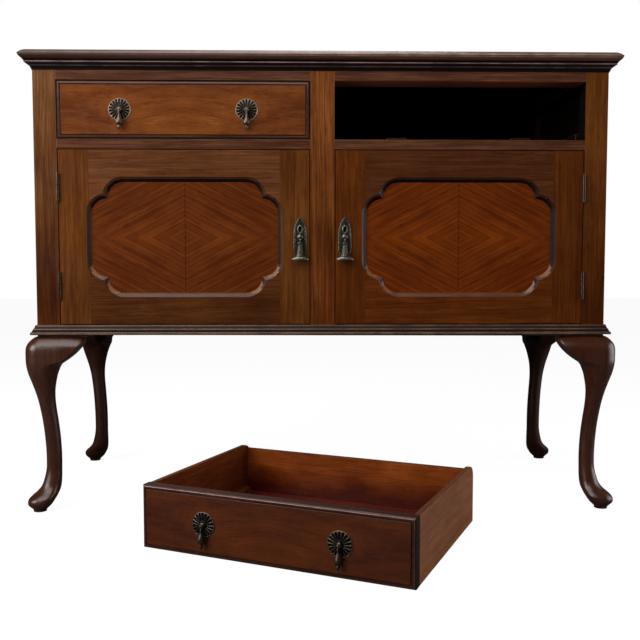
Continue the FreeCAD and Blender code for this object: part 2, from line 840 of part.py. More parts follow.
def drawer_sides(drawer):
    """Side boards, rounded at the rear top corner and grooved for the bottom."""
    sides = []
    for side, at, groove_at in (
            ("left", "0", "drawer_side_thick - drawer_groove_depth"),
            ("right", "drawer_width - drawer_side_thick", "drawer_width - drawer_side_thick - overrun")):
        body = body_named(f"{drawer}_{side}_side")
        profile = sketch(body, f"{drawer}_{side}_profile", "YZ_Plane")
        outline(profile, (("0", "0"), ("drawer_side_length", "0"),
                          ("drawer_side_length", "drawer_side_height"), ("0", "drawer_side_height")))
        board = pad(body, profile, "drawer_side_thick")
        doc.recompute()
        rear = [f"Edge{number + 1}" for number, edge in enumerate(board.Shape.Edges)
                if all(abs(vertex.Y - size("drawer_side_length")) < TOUCHING
                       and abs(vertex.Z - size("drawer_side_height")) < TOUCHING
                       for vertex in edge.Vertexes)]
        rounded = body.newObject("PartDesign::Fillet", f"{drawer}_{side}_round")
        rounded.Base = (board, rear)
        bind(rounded, "Radius", "drawer_side_round")
        seat(body, (at, "drawer_front_thick", "0"), drawer)
        groove = box(f"{drawer}_{side}_groove",
                     ("drawer_groove_depth + overrun", "drawer_side_length + 2 * overrun",
                      "drawer_bottom_thick + 2 * groove_clearance"),
                     (groove_at, "drawer_front_thick - overrun", "drawer_bottom_rise - groove_clearance"),
                     drawer)
        sides.append(cut(f"{drawer}_{side}_grooved", body, groove))
    return group(f"{drawer}_sides", sides)


def drawer_back(drawer):
    """Back board between the sides, standing on the bottom and lower than the sides."""
    return box(f"{drawer}_back",
               ("drawer_inside", "drawer_back_thick",
                "drawer_side_height - drawer_back_drop - drawer_bottom_rise - drawer_bottom_thick"),
               ("drawer_side_thick", "drawer_depth - 2 * drawer_back_thick",
                "drawer_bottom_rise + drawer_bottom_thick"), drawer)


def drawer_bottom(drawer):
    """Thin bottom in the grooves of the sides and the front."""
    return box(f"{drawer}_bottom",
               ("drawer_inside + 2 * drawer_groove_depth",
                "drawer_depth - drawer_back_thick - drawer_front_thick + drawer_groove_depth",
                "drawer_bottom_thick"),
               ("drawer_side_thick - drawer_groove_depth", "drawer_front_thick - drawer_groove_depth",
                "drawer_bottom_rise"), drawer)


def drawer_slips(drawer):
    """Quarter-round slips along the foot of each side."""
    slips = []
    radius = size("slip_width")
    length = size("drawer_depth") - size("drawer_front_thick") - 2 * size("drawer_back_thick")
    middle = radius * math.sqrt(0.5)
    for side, across, inward in (("left", "drawer_side_thick", 1),
                                 ("right", "drawer_width - drawer_side_thick", -1)):
        foot, head = Vector(inward * radius, 0, 0), Vector(0, 0, radius)
        quarter = Part.Wire([Part.LineSegment(Vector(0, 0, 0), foot).toShape(),
                             Part.Arc(foot, Vector(inward * middle, 0, middle), head).toShape(),
                             Part.LineSegment(head, Vector(0, 0, 0)).toShape()])
        slip = shaped(f"{drawer}_{side}_slip", Part.Face(quarter).extrude(Vector(0, length, 0)))
        slips.append(seat(slip, (across, "drawer_front_thick", "drawer_bottom_rise + drawer_bottom_thick"),
                          drawer))
    return group(f"{drawer}_slips", slips)


# Ears reach past their pin by this share of their half height
EAR_REACH_SHARE = 0.5


def add_ears(body, stem, reach, foot):
    """Two ears with a pin across them, in front of a plate, to carry a drop."""
    width = "2 * ear_thick + 2 * ear_gap + eye_thick"
    ears = sketch(body, f"{stem}_ears", "YZ_Plane")
    tip = f"-({reach}) - {EAR_REACH_SHARE} * ear_radius"
    outline(ears, ((tip, "-ear_radius"), (f"-({foot})", "-ear_radius"), (f"-({foot})", "ear_radius"),
                   (tip, "ear_radius")))
    pad(body, ears, width, middle=True)
    slot = sketch(body, f"{stem}_slot", "YZ_Plane")
    outline(slot, ((f"-({reach}) - ear_radius - overrun", "-ear_radius - overrun"),
                   (f"-({reach}) + ear_radius + ear_gap", "-ear_radius - overrun"),
                   (f"-({reach}) + ear_radius + ear_gap", "ear_radius + overrun"),
                   (f"-({reach}) - ear_radius - overrun", "ear_radius + overrun")))
    pocket(body, slot, "2 * ear_gap + eye_thick", middle=True)
    pin = sketch(body, f"{stem}_pin", "YZ_Plane")
    ring(pin, (f"-({reach})", "0"), "pivot_pin_radius")
    pad(body, pin, width, middle=True)


# Shoulder of a rosette: its radius as a share of the rosette's and its rise as
# a share of the rim's, then how far out its slots run.
SHOULDER_SHARES = (0.90, 1.3)
SLOT_END_SHARE = 0.86


def rosettes(drawer):
    """Cast rosettes: a petalled dome with a hub, ears and pin."""
    shoulder, rise = SHOULDER_SHARES
    inner, outer = "rosette_hub_radius + rosette_slot_width", f"{SLOT_END_SHARE} * rosette_radius"
    low, high = "-rosette_slot_width / 2", "rosette_slot_width / 2"
    pair = []
    for number, across in enumerate(("rosette_distance", "drawer_width - rosette_distance"), start=1):
        stem = f"{drawer}_rosette_{number}"
        body = body_named(stem)
        profile = sketch(body, f"{stem}_profile", "XY_Plane")
        outline(profile, (("0", "0"), ("rosette_radius", "0"), ("rosette_radius", "-rosette_rim"),
                          (f"{shoulder} * rosette_radius", f"-{rise} * rosette_rim"),
                          ("rosette_hub_radius", "-rosette_dome"),
                          ("rosette_hub_radius", "-rosette_hub_height"),
                          ("0", "-rosette_hub_height")))
        revolve(body, profile, "V_Axis")
        slot = sketch(body, f"{stem}_petal_slot", "XZ_Plane")
        outline(slot, ((inner, low), (outer, low), (outer, high), (inner, high)))
        slot.AttachmentOffset = FreeCAD.Placement(Vector(0, 0, size("rosette_rim")), FreeCAD.Rotation())
        bind(slot, ".AttachmentOffset.Base.z", "rosette_rim")
        taken = pocket(body, slot, "rosette_dome + overrun", backward=True)
        doc.recompute()
        around = body.newObject("PartDesign::PolarPattern", f"{stem}_petals")
        around.Originals = [taken]
        around.Axis = (slot, ["N_Axis"])
        around.Angle = 360
        bind(around, "Occurrences", "rosette_petals")
        body.Tip = around
        add_ears(body, stem, "drop_pivot_reach", "rosette_hub_height / 2")
        pair.append(seat(body, (across, "-drawer_field_rise", "rosette_height"), drawer))
    return group(f"{drawer}_rosettes", pair)


def drop_eye(body, stem):
    """Flat eye at the head of a drop, bored for its pin."""
    eye = sketch(body, f"{stem}_eye", "YZ_Plane")
    ring(eye, ("0", "0"), "eye_radius")
    pad(body, eye, "eye_thick", middle=True)
    bore = sketch(body, f"{stem}_bore", "YZ_Plane")
    ring(bore, ("0", "0"), "pivot_pin_radius + pivot_clearance")
    pocket(body, bore, "eye_thick + 2 * overrun", middle=True)


# Outline of a pear drop from its neck down: a radius, the share of it, and the
# depth as a share of the drop's length.
DROP_SHARES = (
    ("drop_neck_radius", 1.0, 0.16),
    ("drop_neck_radius", 1.5, 0.20),
    ("drop_neck_radius", 1.0, 0.25),
    ("drop_bell_radius", 0.62, 0.45),
    ("drop_bell_radius", 1.0, 0.65),
    ("drop_bell_radius", 1.0, 0.71),
    ("drop_bell_radius", 0.6, 0.76),
    ("drop_tip_radius", 0.7, 0.80),
    ("drop_tip_radius", 1.0, 0.88),
    ("drop_tip_radius", 0.7, 0.97),
)
# Top of the turned part: how much of the eye it leaves free, and its width there
DROP_TOP_SHARES = (0.4, 0.7)


def drawer_drop(drawer, number, across):
    """Pear drop that hangs from a rosette, turned, with a bell and a small tip."""
    stem = f"{drawer}_drop_{number}"
    body = body_named(stem)
    profile = sketch(body, f"{stem}_profile", "XZ_Plane")
    free_share, wide_share = DROP_TOP_SHARES
    top = f"-(pivot_pin_radius + pivot_clearance + {free_share} * eye_radius)"
    side = [(f"{share} * {radius}", f"-{depth_share} * drop_length")
            for radius, share, depth_share in DROP_SHARES]
    head = [("0", top), (f"{wide_share} * drop_neck_radius", top)]
    outline(profile, head + side + [("0", "-drop_length")])
    revolve(body, profile, "V_Axis")
    drop_eye(body, stem)
    return seat(body, (across, "-drawer_field_rise - drop_pivot_reach", "rosette_height"), drawer)


# Doors: framed, with a shaped recess over a flat panel

FIELD_EDGE_SHARES = ((1.0, 0.0), (0.90, 0.16), (0.60, 0.30), (0.25, 0.60), (0.06, 0.86), (0.0, 1.0))


def field_outline(offset, level_y, middle_x, middle_z):
    """Outline of the recess: each corner is two quarter rounds that meet in a cusp."""
    half_x, half_z = size("field_width") / 2, size("field_height") / 2
    radius = size("field_corner_radius")
    grown = radius + offset
    cusp = (3 * radius - math.sqrt(2 * grown ** 2 - radius ** 2)) / 2
    sweep = math.acos((radius - cusp) / grown)
    bow = (2 * radius - grown * math.sin(sweep / 2), radius - grown * math.cos(sweep / 2))
    corner = ((2 * radius, -offset), bow, (cusp, cusp), (bow[1], bow[0]), (-offset, 2 * radius))
    turns = []
    for side, up in ((1, 1), (-1, 1), (-1, -1), (1, -1)):
        turn = [Vector(middle_x + side * (half_x - along), level_y, middle_z + up * (half_z - rise))
                for along, rise in corner]
        if side * up > 0:
            turn.reverse()
        turns.append(turn)
    edges = []
    for number, turn in enumerate(turns):
        edges.append(Part.LineSegment(turns[number - 1][-1], turn[0]).toShape())
        edges.append(Part.Arc(turn[0], turn[1], turn[2]).toShape())
        edges.append(Part.Arc(turn[2], turn[3], turn[4]).toShape())
    return Part.Wire(edges)


def door_middle(sign):
    return sign * (size("door_near") + size("door_width") / 2), size("door_z") + size("door_height") / 2


def field_cutter(sign):
    """Tool that cuts the shaped recess and its moulded edge into a door frame."""
    middle_x, middle_z = door_middle(sign)
    width, depth = size("field_moulding_width"), size("panel_recess")
    front = size("front_y")
    outlines = [field_outline(width, front - size("overrun"), middle_x, middle_z)]
    for width_share, depth_share in FIELD_EDGE_SHARES:
        outlines.append(field_outline(width * width_share, front + depth * depth_share, middle_x, middle_z))
    return Part.makeLoft(outlines, True, True)


def panel_slot(side, sign):
    """Room for the panel's edges in the frame, a little thicker than the panel."""
    return corner_box(f"{side}_panel_slot", sign, "door_near + stile_width - panel_groove_depth",
                      ("door_width - 2 * stile_width + 2 * panel_groove_depth", "panel_thick",
                       "door_height - 2 * door_rail_height + 2 * panel_groove_depth"),
                      "panel_y", "door_z + door_rail_height - panel_groove_depth")


def lock_room(side, sign):
    """Mortise for the lock, open at the back of the lock stile, and the way of its bolt."""
    case = corner_box(f"{side}_lock_mortise", sign, "door_near + bolt_setback",
                      ("lock_width", "lock_thick + overrun", "lock_height"), "lock_y",
                      "keyhole_z - lock_height / 2")
    way = corner_box(f"{side}_bolt_way", sign, "door_near - overrun",
                     ("overrun + 2 * bolt_setback", "bolt_thick + 2 * bolt_clearance",
                      "bolt_height + 2 * bolt_clearance"),
                     "bolt_y - bolt_clearance", "keyhole_z - bolt_height / 2 - bolt_clearance")
    return [case, way]


def keyhole(name, sign):
    """Round hole over a slot, right through a door."""
    x, z = sign * size("handle_x"), size("keyhole_z")
    front = size("front_y") - size("plate_thick") - size("overrun")
    depth = size("door_thick") + size("plate_thick") + 2 * size("overrun")
    hole = Part.makeCylinder(size("keyhole_radius"), depth, Vector(x, front, z), Vector(0, 1, 0))
    slot = Part.makeBox(size("keyhole_slot_width"), depth, size("keyhole_slot_length"),
                        Vector(x - size("keyhole_slot_width") / 2, front, z - size("keyhole_slot_length")))
    return shaped(name, hole.fuse(slot))


def door_stiles(side, sign, cutter, slot):
    """Hinge stile, and the lock stile with its lock mortise and keyhole."""
    stock = ("stile_width", "door_thick", "door_height")
    hinge_stile = corner_box(f"{side}_hinge_stile", sign, "door_far - stile_width", stock, "front_y",
                             "door_z")
    lock_stile = corner_box(f"{side}_lock_stile", sign, "door_near", stock, "front_y", "door_z")
    hinge_stile = cut(f"{side}_hinge_stile_cut", hinge_stile, slot, cutter)
    lock_stile = cut(f"{side}_lock_stile_cut", lock_stile, slot, cutter, *lock_room(side, sign),
                     keyhole(f"{side}_stile_keyhole", sign))
    return group(f"{side}_door_stiles", [hinge_stile, lock_stile])


def door_rails(side, sign, cutter, slot):
    """Top and bottom rails between the stiles."""
    rails = []
    for level, low_z in (("bottom", "door_z"), ("top", "door_z + door_height - door_rail_height")):
        rail = corner_box(f"{side}_{level}_rail", sign, "door_near + stile_width",
                          ("door_width - 2 * stile_width", "door_thick", "door_rail_height"),
                          "front_y", low_z)
        rails.append(cut(f"{side}_{level}_rail_cut", rail, slot, cutter))
    return group(f"{side}_door_rails", rails)


def panel_moulding(side, sign, cutter):
    """Corner spandrels and the inner edge of the moulding, in front of the panel."""
    stock = corner_box(f"{side}_panel_moulding_stock", sign, "door_near + stile_width",
                       ("door_width - 2 * stile_width", "panel_recess",
                        "door_height - 2 * door_rail_height"), "front_y", "door_z + door_rail_height")
    return cut(f"{side}_panel_moulding", stock, cutter)


def door_panel(side, sign):
    """Flat veneered panel, loose in the groove of the frame by a clearance."""
    less = "panel_groove_depth - groove_clearance"
    return corner_box(f"{side}_door_panel", sign, f"door_near + stile_width - ({less})",
                      (f"door_width - 2 * stile_width + 2 * ({less})", "panel_thick",
                       f"door_height - 2 * door_rail_height + 2 * ({less})"),
                      "panel_y", f"door_z + door_rail_height - ({less})")


# Locks

def lock_case(side, sign):
    """Lock case with a channel for its bolt and a keyhole through it."""
    case = corner_box(f"{side}_lock_case_stock", sign, "door_near + bolt_setback",
                      ("lock_width", "lock_thick", "lock_height"), "lock_y", "keyhole_z - lock_height / 2")
    channel = corner_box(f"{side}_bolt_channel", sign, "door_near - overrun",
                         ("overrun + bolt_setback + lock_width - lock_wall",
                          "bolt_thick + 2 * bolt_clearance", "bolt_height + 2 * bolt_clearance"),
                         "bolt_y - bolt_clearance", "keyhole_z - bolt_height / 2 - bolt_clearance")
    return cut(f"{side}_lock_case", case, channel, keyhole(f"{side}_case_keyhole", sign))


def lock_bolt(side, sign):
    """Bolt, drawn back inside the edge of the door at rest."""
    return corner_box(f"{side}_lock_bolt", sign, "door_near + bolt_setback",
                      ("bolt_length", "bolt_thick", "bolt_height"), "bolt_y", "keyhole_z - bolt_height / 2")


# Door handles

# Left edge of a handle plate from the head down: share of half the width, and
# share of its rise above the pivot or its fall below it.
PLATE_SHARES = (
    (0.55, 0.80, "plate_rise"),
    (0.90, 0.50, "plate_rise"),
    (1.00, 0.20, "plate_rise"),
    (1.00, -0.55, "plate_fall"),
    (0.70, -0.85, "plate_fall"),
    (0.25, -1.00, "plate_fall"),
)
# Sections of a handle drop: depth, width and thickness as shares of its own.
# The first stands at the neck and the last on the foot.
HANDLE_DROP_SHARES = ((0.0, 0.14, 0.30), (0.28, 0.27, 0.46), (0.62, 0.33, 0.60), (0.80, 0.46, 0.74),
                      (1.0, 0.66, 0.92))


def handle_plate(side, sign):
    """Tall backplate with a pointed head and a round foot, a keyhole, ears and a pin."""
    stem = f"{side}_handle_plate"
    body = body_named(stem)
    plate = sketch(body, f"{stem}_outline", "XZ_Plane")
    left = [(f"-{share} * plate_width / 2", f"{up_share} * {reach}")
            for share, up_share, reach in PLATE_SHARES]
    right = [(across[1:], up) for across, up in reversed(left)]
    outline(plate, [("0", "plate_rise")] + left + right)
    pad(body, plate, "plate_thick")
    hole = sketch(body, f"{stem}_keyhole", "XZ_Plane")
    ring(hole, ("0", "keyhole_rise"), "keyhole_radius")
    pocket(body, hole, "plate_thick + overrun", backward=True)
    slot = sketch(body, f"{stem}_keyslot", "XZ_Plane")
    outline(slot, (("-keyhole_slot_width / 2", "keyhole_rise - keyhole_slot_length"),
                   ("keyhole_slot_width / 2", "keyhole_rise - keyhole_slot_length"),
                   ("keyhole_slot_width / 2", "keyhole_rise"),
                   ("-keyhole_slot_width / 2", "keyhole_rise")))
    pocket(body, slot, "plate_thick + overrun", backward=True)
    add_ears(body, stem, "plate_pivot_reach", "plate_thick / 2")
    return seat(body, (f"{sign} * handle_x", "front_y", "handle_z"))


def handle_drop(side, sign):
    """Flared drop with a flat oval foot, hanging from the pin of its plate."""
    length = size("handle_drop_length")
    half_wide, half_deep = size("handle_drop_width") / 2, size("handle_drop_depth") / 2
    thick = size("handle_foot_thick")
    neck = size("ear_radius") + 2 * size("ear_gap")
    rings = []
    for depth_share, wide_share, deep_share in HANDLE_DROP_SHARES:
        depth = min(max(depth_share * length, neck), length - thick)
        oval = Part.Ellipse(Vector(0, 0, -depth), half_wide * wide_share, half_deep * deep_share)
        rings.append(Part.Wire(oval.toShape()))
    stem = Part.makeLoft(rings, True, True)
    foot_oval = Part.Ellipse(Vector(0, 0, -length), half_wide, half_deep)
    foot = Part.Face(Part.Wire(foot_oval.toShape())).extrude(Vector(0, 0, thick))
    across = size("eye_thick")
    eye = Part.makeCylinder(size("eye_radius"), across, Vector(-across / 2, 0, 0), Vector(1, 0, 0))
    link = Part.makeBox(across, size("eye_thick"), neck + size("ear_gap"),
                        Vector(-across / 2, -size("eye_thick") / 2, -neck - size("ear_gap")))
    bore = Part.makeCylinder(size("pivot_pin_radius") + size("pivot_clearance"), 2 * across,
                             Vector(-across, 0, 0), Vector(1, 0, 0))
    drop = stem.fuse([foot, eye, link]).cut(bore)
    place = Vector(sign * size("handle_x"), size("front_y") - size("plate_pivot_reach"), size("handle_z"))
    return shaped(f"{side}_handle_drop", drop.translated(place))


# Butt hinges, two to a door, their knuckles standing in front of the gap

def hinge_levels():
    low = size("door_z") + size("hinge_low_height")
    high = size("door_z") + size("door_height") - size("hinge_high_drop") - size("hinge_height")
    return low, high


def knuckle(low, high, bore):
    """One knuckle of a hinge around the pin, between two levels."""
    axis = Vector(0, size("hinge_y"), low)
    return Part.makeCylinder(size("hinge_knuckle_radius"), high - low, axis).cut(
        Part.makeCylinder(bore, high - low, axis))


def leaf(face_x, low, height):
    """Leaf that lies in the gap against a door or a post, reaching to the knuckles."""
    start = size("hinge_y")
    depth = size("front_y") + size("hinge_leaf_depth") - start
    return Part.makeBox(size("hinge_leaf_thick"), depth, height, Vector(face_x, start, low))


def hinge_half(sign, low, of_door):
    """Leaf and knuckles of one half of a hinge: the middle knuckle is the door's."""
    height, gap = size("hinge_height"), size("hinge_knuckle_gap")
    bore = size("hinge_pin_radius") + size("hinge_pin_clearance")
    third = height / 3
    half_gap = size("door_gap") / 2
    thick = size("hinge_leaf_thick")
    if of_door:
        stretches = ((low + third + gap / 2, low + 2 * third - gap / 2),)
        face_x = -half_gap if sign > 0 else half_gap - thick
    else:
        stretches = ((low, low + third - gap / 2), (low + 2 * third + gap / 2, low + height))
        face_x = half_gap - thick if sign > 0 else -half_gap
    pieces = [knuckle(start, end, bore) for start, end in stretches]
    plate = leaf(face_x, low, height)
    barrel = Part.makeCylinder(size("hinge_knuckle_radius") + gap, height,
                               Vector(0, size("hinge_y"), low))
    across, depth = 2 * size("door_gap") + thick, size("hinge_leaf_depth") + size("overrun")
    webs = [plate.common(Part.makeBox(across, depth, end - start,
                                      Vector(-size("door_gap"), size("hinge_y"), start)))
            for start, end in stretches]
    hole = Part.makeCylinder(bore, height, Vector(0, size("hinge_y"), low))
    half = plate.cut(barrel).fuse(pieces + webs).cut(hole).removeSplitter()
    return half.translated(Vector(sign * size("hinge_x"), 0, 0))


def post_leaves():
    halves = [hinge_half(sign, low, False) for side, sign in SIDES for low in hinge_levels()]
    return shaped("hinge_post_leaves", Part.makeCompound(halves))


def door_leaves(side, sign):
    halves = [hinge_half(sign, low, True) for low in hinge_levels()]
    return shaped(f"{side}_hinge_leaves", Part.makeCompound(halves))


def hinge_pins():
    """Pins with a small button at each end."""
    pins = []
    for side, sign in SIDES:
        for low in hinge_levels():
            foot = Vector(sign * size("hinge_x"), size("hinge_y"), low)
            height, button = size("hinge_height"), size("hinge_button_height")
            pin = Part.makeCylinder(size("hinge_pin_radius"), height, foot)
            lower = Part.makeCylinder(size("hinge_button_radius"), button, foot - UP * button)
            upper = Part.makeCylinder(size("hinge_button_radius"), button, foot + UP * height)
            pins.append(pin.fuse([lower, upper]).removeSplitter())
    return shaped("hinge_pins", Part.makeCompound(pins))


# The whole sideboard, from the top down

node("top_board", shaped("top_board", moulded_board(
    TOP_EDGE_SHARES, size("top_overhang"), size("top_board_thick"), size("top_z"))))
node("cornice_moulding", moulding("cornice_moulding", CORNICE_SHARES, size("cornice_reach"),
                                  size("cornice_height"), size("cornice_z")))
node("front_posts", front_posts())
node("centre_post", centre_post())
node("rear_posts", rear_posts())
node("end_panels", end_panels())
node("top_rails", front_rails("top_rails", "top_rail_height", "top_rail_z"))
node("drawer_rails", front_rails("drawer_rails", "drawer_rail_height", "drawer_rail_z"))
node("partition", partition())
node("dust_boards", dust_boards())
node("drawer_runners", side_runs("drawer_runners", "runner_lap", "drawer_rail_height", "drawer_rail_z",
                                 "rail_back_y"))
node("drawer_guides", side_runs("drawer_guides", "drawer_side_gap - guide_gap", "guide_height", "drawer_z",
                                "rail_back_y"))
node("drawer_kickers", side_runs("drawer_kickers", "runner_lap", "kicker_height", "top_rail_z",
                                 "rail_back_y"))
node("drawer_stops", drawer_stops())
node("back_panel", back_panel())
node("back_screws", back_screws())
node("bottom_board", bottom_board())
node("base_moulding", moulding("base_moulding", BASE_EDGE_SHARES, size("base_moulding_reach"),
                               size("base_moulding_height"), size("base_moulding_z")))
node("stand_frame", stand_rails())
leg = leg_shape()
for end, end_sign in ENDS:
    for side, side_sign in SIDES:
        name = f"{end}_{side}_leg"
        node(name, shaped(name, to_corner(leg, side_sign, end_sign)))
node("knee_wings", knee_wings(leg))
node("hinge_post_leaves", post_leaves())
node("hinge_pins", hinge_pins())
for side, sign in SIDES:
    cutter = shaped(f"{side}_field_cutter", field_cutter(sign))
    slot = panel_slot(side, sign)
    node(f"{side}_door_stiles", door_stiles(side, sign, cutter, slot))
    node(f"{side}_door_rails", door_rails(side, sign, cutter, slot))
    node(f"{side}_door_panel", door_panel(side, sign))
    node(f"{side}_panel_moulding", panel_moulding(side, sign, cutter))
    node(f"{side}_hinge_leaves", door_leaves(side, sign))
    node(f"{side}_lock_case", lock_case(side, sign))
    node(f"{side}_lock_bolt", lock_bolt(side, sign))
    node(f"{side}_handle_plate", handle_plate(side, sign))
    node(f"{side}_handle_drop", handle_drop(side, sign))
    drawer = f"{side}_drawer"
    node(f"{drawer}_front", drawer_front(drawer))
    node(f"{drawer}_sides", drawer_sides(drawer))
    node(f"{drawer}_back", drawer_back(drawer))
    node(f"{drawer}_bottom", drawer_bottom(drawer))
    node(f"{drawer}_slips", drawer_slips(drawer))
    node(f"{drawer}_rosettes", rosettes(drawer))
    node(f"{drawer}_drop_1", drawer_drop(drawer, 1, "rosette_distance"))
    node(f"{drawer}_drop_2", drawer_drop(drawer, 2, "drawer_width - rosette_distance"))

doc.recompute()
for piece in doc.Objects:
    if "Invalid" in piece.State or "Error" in piece.State:
        raise RuntimeError(f"{piece.Label} did not recompute: {piece.State}")
os.makedirs("parts", exist_ok=True)
for piece in nodes:
    shape = piece.Shape
    if shape.isNull() or not shape.isValid() or not shape.Solids:
        raise RuntimeError(f"{piece.Label} has no valid solid")
for piece in nodes:
    piece.Shape.exportStep(f"parts/{piece.Label}.step")
print(len(nodes), "sub-parts,", sum(len(piece.Shape.Solids) for piece in nodes), "solids")
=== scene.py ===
import math

import bmesh
import bpy
from mathutils import Matrix, Vector


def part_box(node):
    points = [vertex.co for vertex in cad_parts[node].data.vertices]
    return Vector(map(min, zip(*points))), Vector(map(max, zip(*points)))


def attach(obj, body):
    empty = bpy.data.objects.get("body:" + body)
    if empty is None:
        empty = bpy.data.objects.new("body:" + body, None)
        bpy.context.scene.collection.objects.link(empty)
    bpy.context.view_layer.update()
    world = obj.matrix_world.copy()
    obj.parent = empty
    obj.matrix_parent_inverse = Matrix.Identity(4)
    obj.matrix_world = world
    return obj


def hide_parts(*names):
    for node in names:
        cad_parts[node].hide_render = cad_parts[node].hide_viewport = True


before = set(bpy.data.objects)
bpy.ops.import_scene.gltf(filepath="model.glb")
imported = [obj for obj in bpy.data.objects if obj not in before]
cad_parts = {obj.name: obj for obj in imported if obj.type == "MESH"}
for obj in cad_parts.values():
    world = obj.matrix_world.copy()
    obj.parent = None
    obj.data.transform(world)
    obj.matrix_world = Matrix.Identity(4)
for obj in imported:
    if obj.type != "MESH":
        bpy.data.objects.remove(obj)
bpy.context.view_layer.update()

# CARCASS FRAME
# Corner posts, centre post and the rails between them: solid mahogany, planed,
# framed up with tenons, French polished and since worn to a warm, uneven brown.
# The posts are painted darker towards the bottom, and the right-hand one darker
# still, as painted shade; faces that look into the case are painted near black as shade.


def srgb(red, green, blue):
    """Colour as seen on a screen, from 0 to 255, as the light it stands for."""
    def light(value):
        value /= 255
        return value / 12.92 if value <= 0.04045 else ((value + 0.055) / 1.055) ** 2.4
    return (light(red), light(green), light(blue), 1.0)


class Bench:
    """A node tree with short ways to add, set and join its nodes."""

    def __init__(self, tree):
        self.tree = tree

    def feed(self, socket, value):
        """Set a socket, or join it to another socket or to a node's first output."""
        if isinstance(value, bpy.types.Node):
            value = self.out(value)
        if isinstance(value, bpy.types.NodeSocket):
            self.tree.links.new(value, socket)
        else:
            socket.default_value = value

    def put(self, node, name, value):
        self.feed(next(found for found in node.inputs if found.name == name and found.enabled), value)

    def add(self, kind, **values):
        """New node with its settings, in small letters, and its inputs, with _ for a space."""
        node = self.tree.nodes.new(kind)
        node.location = (len(self.tree.nodes) % 8 * 190, -(len(self.tree.nodes) // 8) * 330)
        for name, value in values.items():
            if name[0].islower():
                setattr(node, name, value)
            else:
                self.put(node, name.replace("_", " "), value)
        return node

    def out(self, node, name=None):
        return next(socket for socket in node.outputs if socket.enabled and name in (None, socket.name))

    def numbered(self, node, values, output=0):
        """Values into a node's inputs by their numbers, and the numbered output."""
        for number, value in values.items():
            self.feed(node.inputs[number], value)
        return node.outputs[output]

    def maths(self, operation, first, second=0.0, clamp=False):
        node = self.add("ShaderNodeMath", operation=operation, use_clamp=clamp)
        return self.numbered(node, {0: first, 1: second})

    def times(self, first, second, clamp=False):
        return self.maths("MULTIPLY", first, second, clamp)

    def less(self, value):
        """What a share lacks of one."""
        return self.maths("SUBTRACT", 1.0, value)

    def stretch(self, vector, factors, more=None):
        """A vector multiplied by another, with a third added to it if there is one."""
        node = self.add("ShaderNodeVectorMath", operation="MULTIPLY_ADD" if more else "MULTIPLY")
        return self.numbered(node, {0: vector, 1: factors, **({2: more} if more else {})})

    def spread(self, value, low, high, to_low=0.0, to_high=1.0):
        """Smooth step of a value between two limits."""
        return self.out(self.add("ShaderNodeMapRange", interpolation_type="SMOOTHSTEP", Value=value,
                                 From_Min=low, From_Max=high, To_Min=to_low, To_Max=to_high))

    def noise(self, vector, scale, detail=2.0, roughness=0.5, output=None):
        return self.out(self.add("ShaderNodeTexNoise", Vector=vector, Scale=scale, Detail=detail,
                                 Roughness=roughness), output)

    def blend(self, amount, first, second, how="MIX"):
        node = self.add("ShaderNodeMix", data_type="RGBA", blend_type=how)
        return self.numbered(node, {0: amount, 6: first, 7: second}, 2)

    def here(self):
        """Place on the piece, in metres."""
        return self.out(self.add("ShaderNodeTexCoord"), "Object")

    def moved(self, vector, rotation=(0, 0, 0), location=(0, 0, 0)):
        return self.out(self.add("ShaderNodeMapping", Vector=vector, Rotation=rotation,
                                 Location=location))

    def parts(self, vector):
        return self.add("ShaderNodeSeparateXYZ", Vector=vector).outputs

    def mark(self, name):
        """How far a face is marked light, by rub marks and painted highlight, or dark, by grime and painted
        shade.
        """
        return self.out(self.add("ShaderNodeAttribute", attribute_name=name), "Fac")


def blank(owner):
    """Bench on the emptied nodes of a material or of the world."""
    owner.use_nodes = True
    owner.node_tree.nodes.clear()
    return Bench(owner.node_tree)


def group(name, inputs, outputs, kind="ShaderNodeTree"):
    """Empty node group, its sockets listed by kind: its bench, a reader of its inputs, its way out."""
    tree = bpy.data.node_groups.new(name, kind)
    for way, sockets in (("INPUT", inputs), ("OUTPUT", outputs)):
        for held, names in sockets.items():
            for socket in names:
                tree.interface.new_socket(socket, in_out=way, socket_type=f"NodeSocket{held}")
    bench = Bench(tree)
    way_in, way_out = bench.add("NodeGroupInput"), bench.add("NodeGroupOutput")
    return bench, lambda socket: bench.out(way_in, socket), way_out


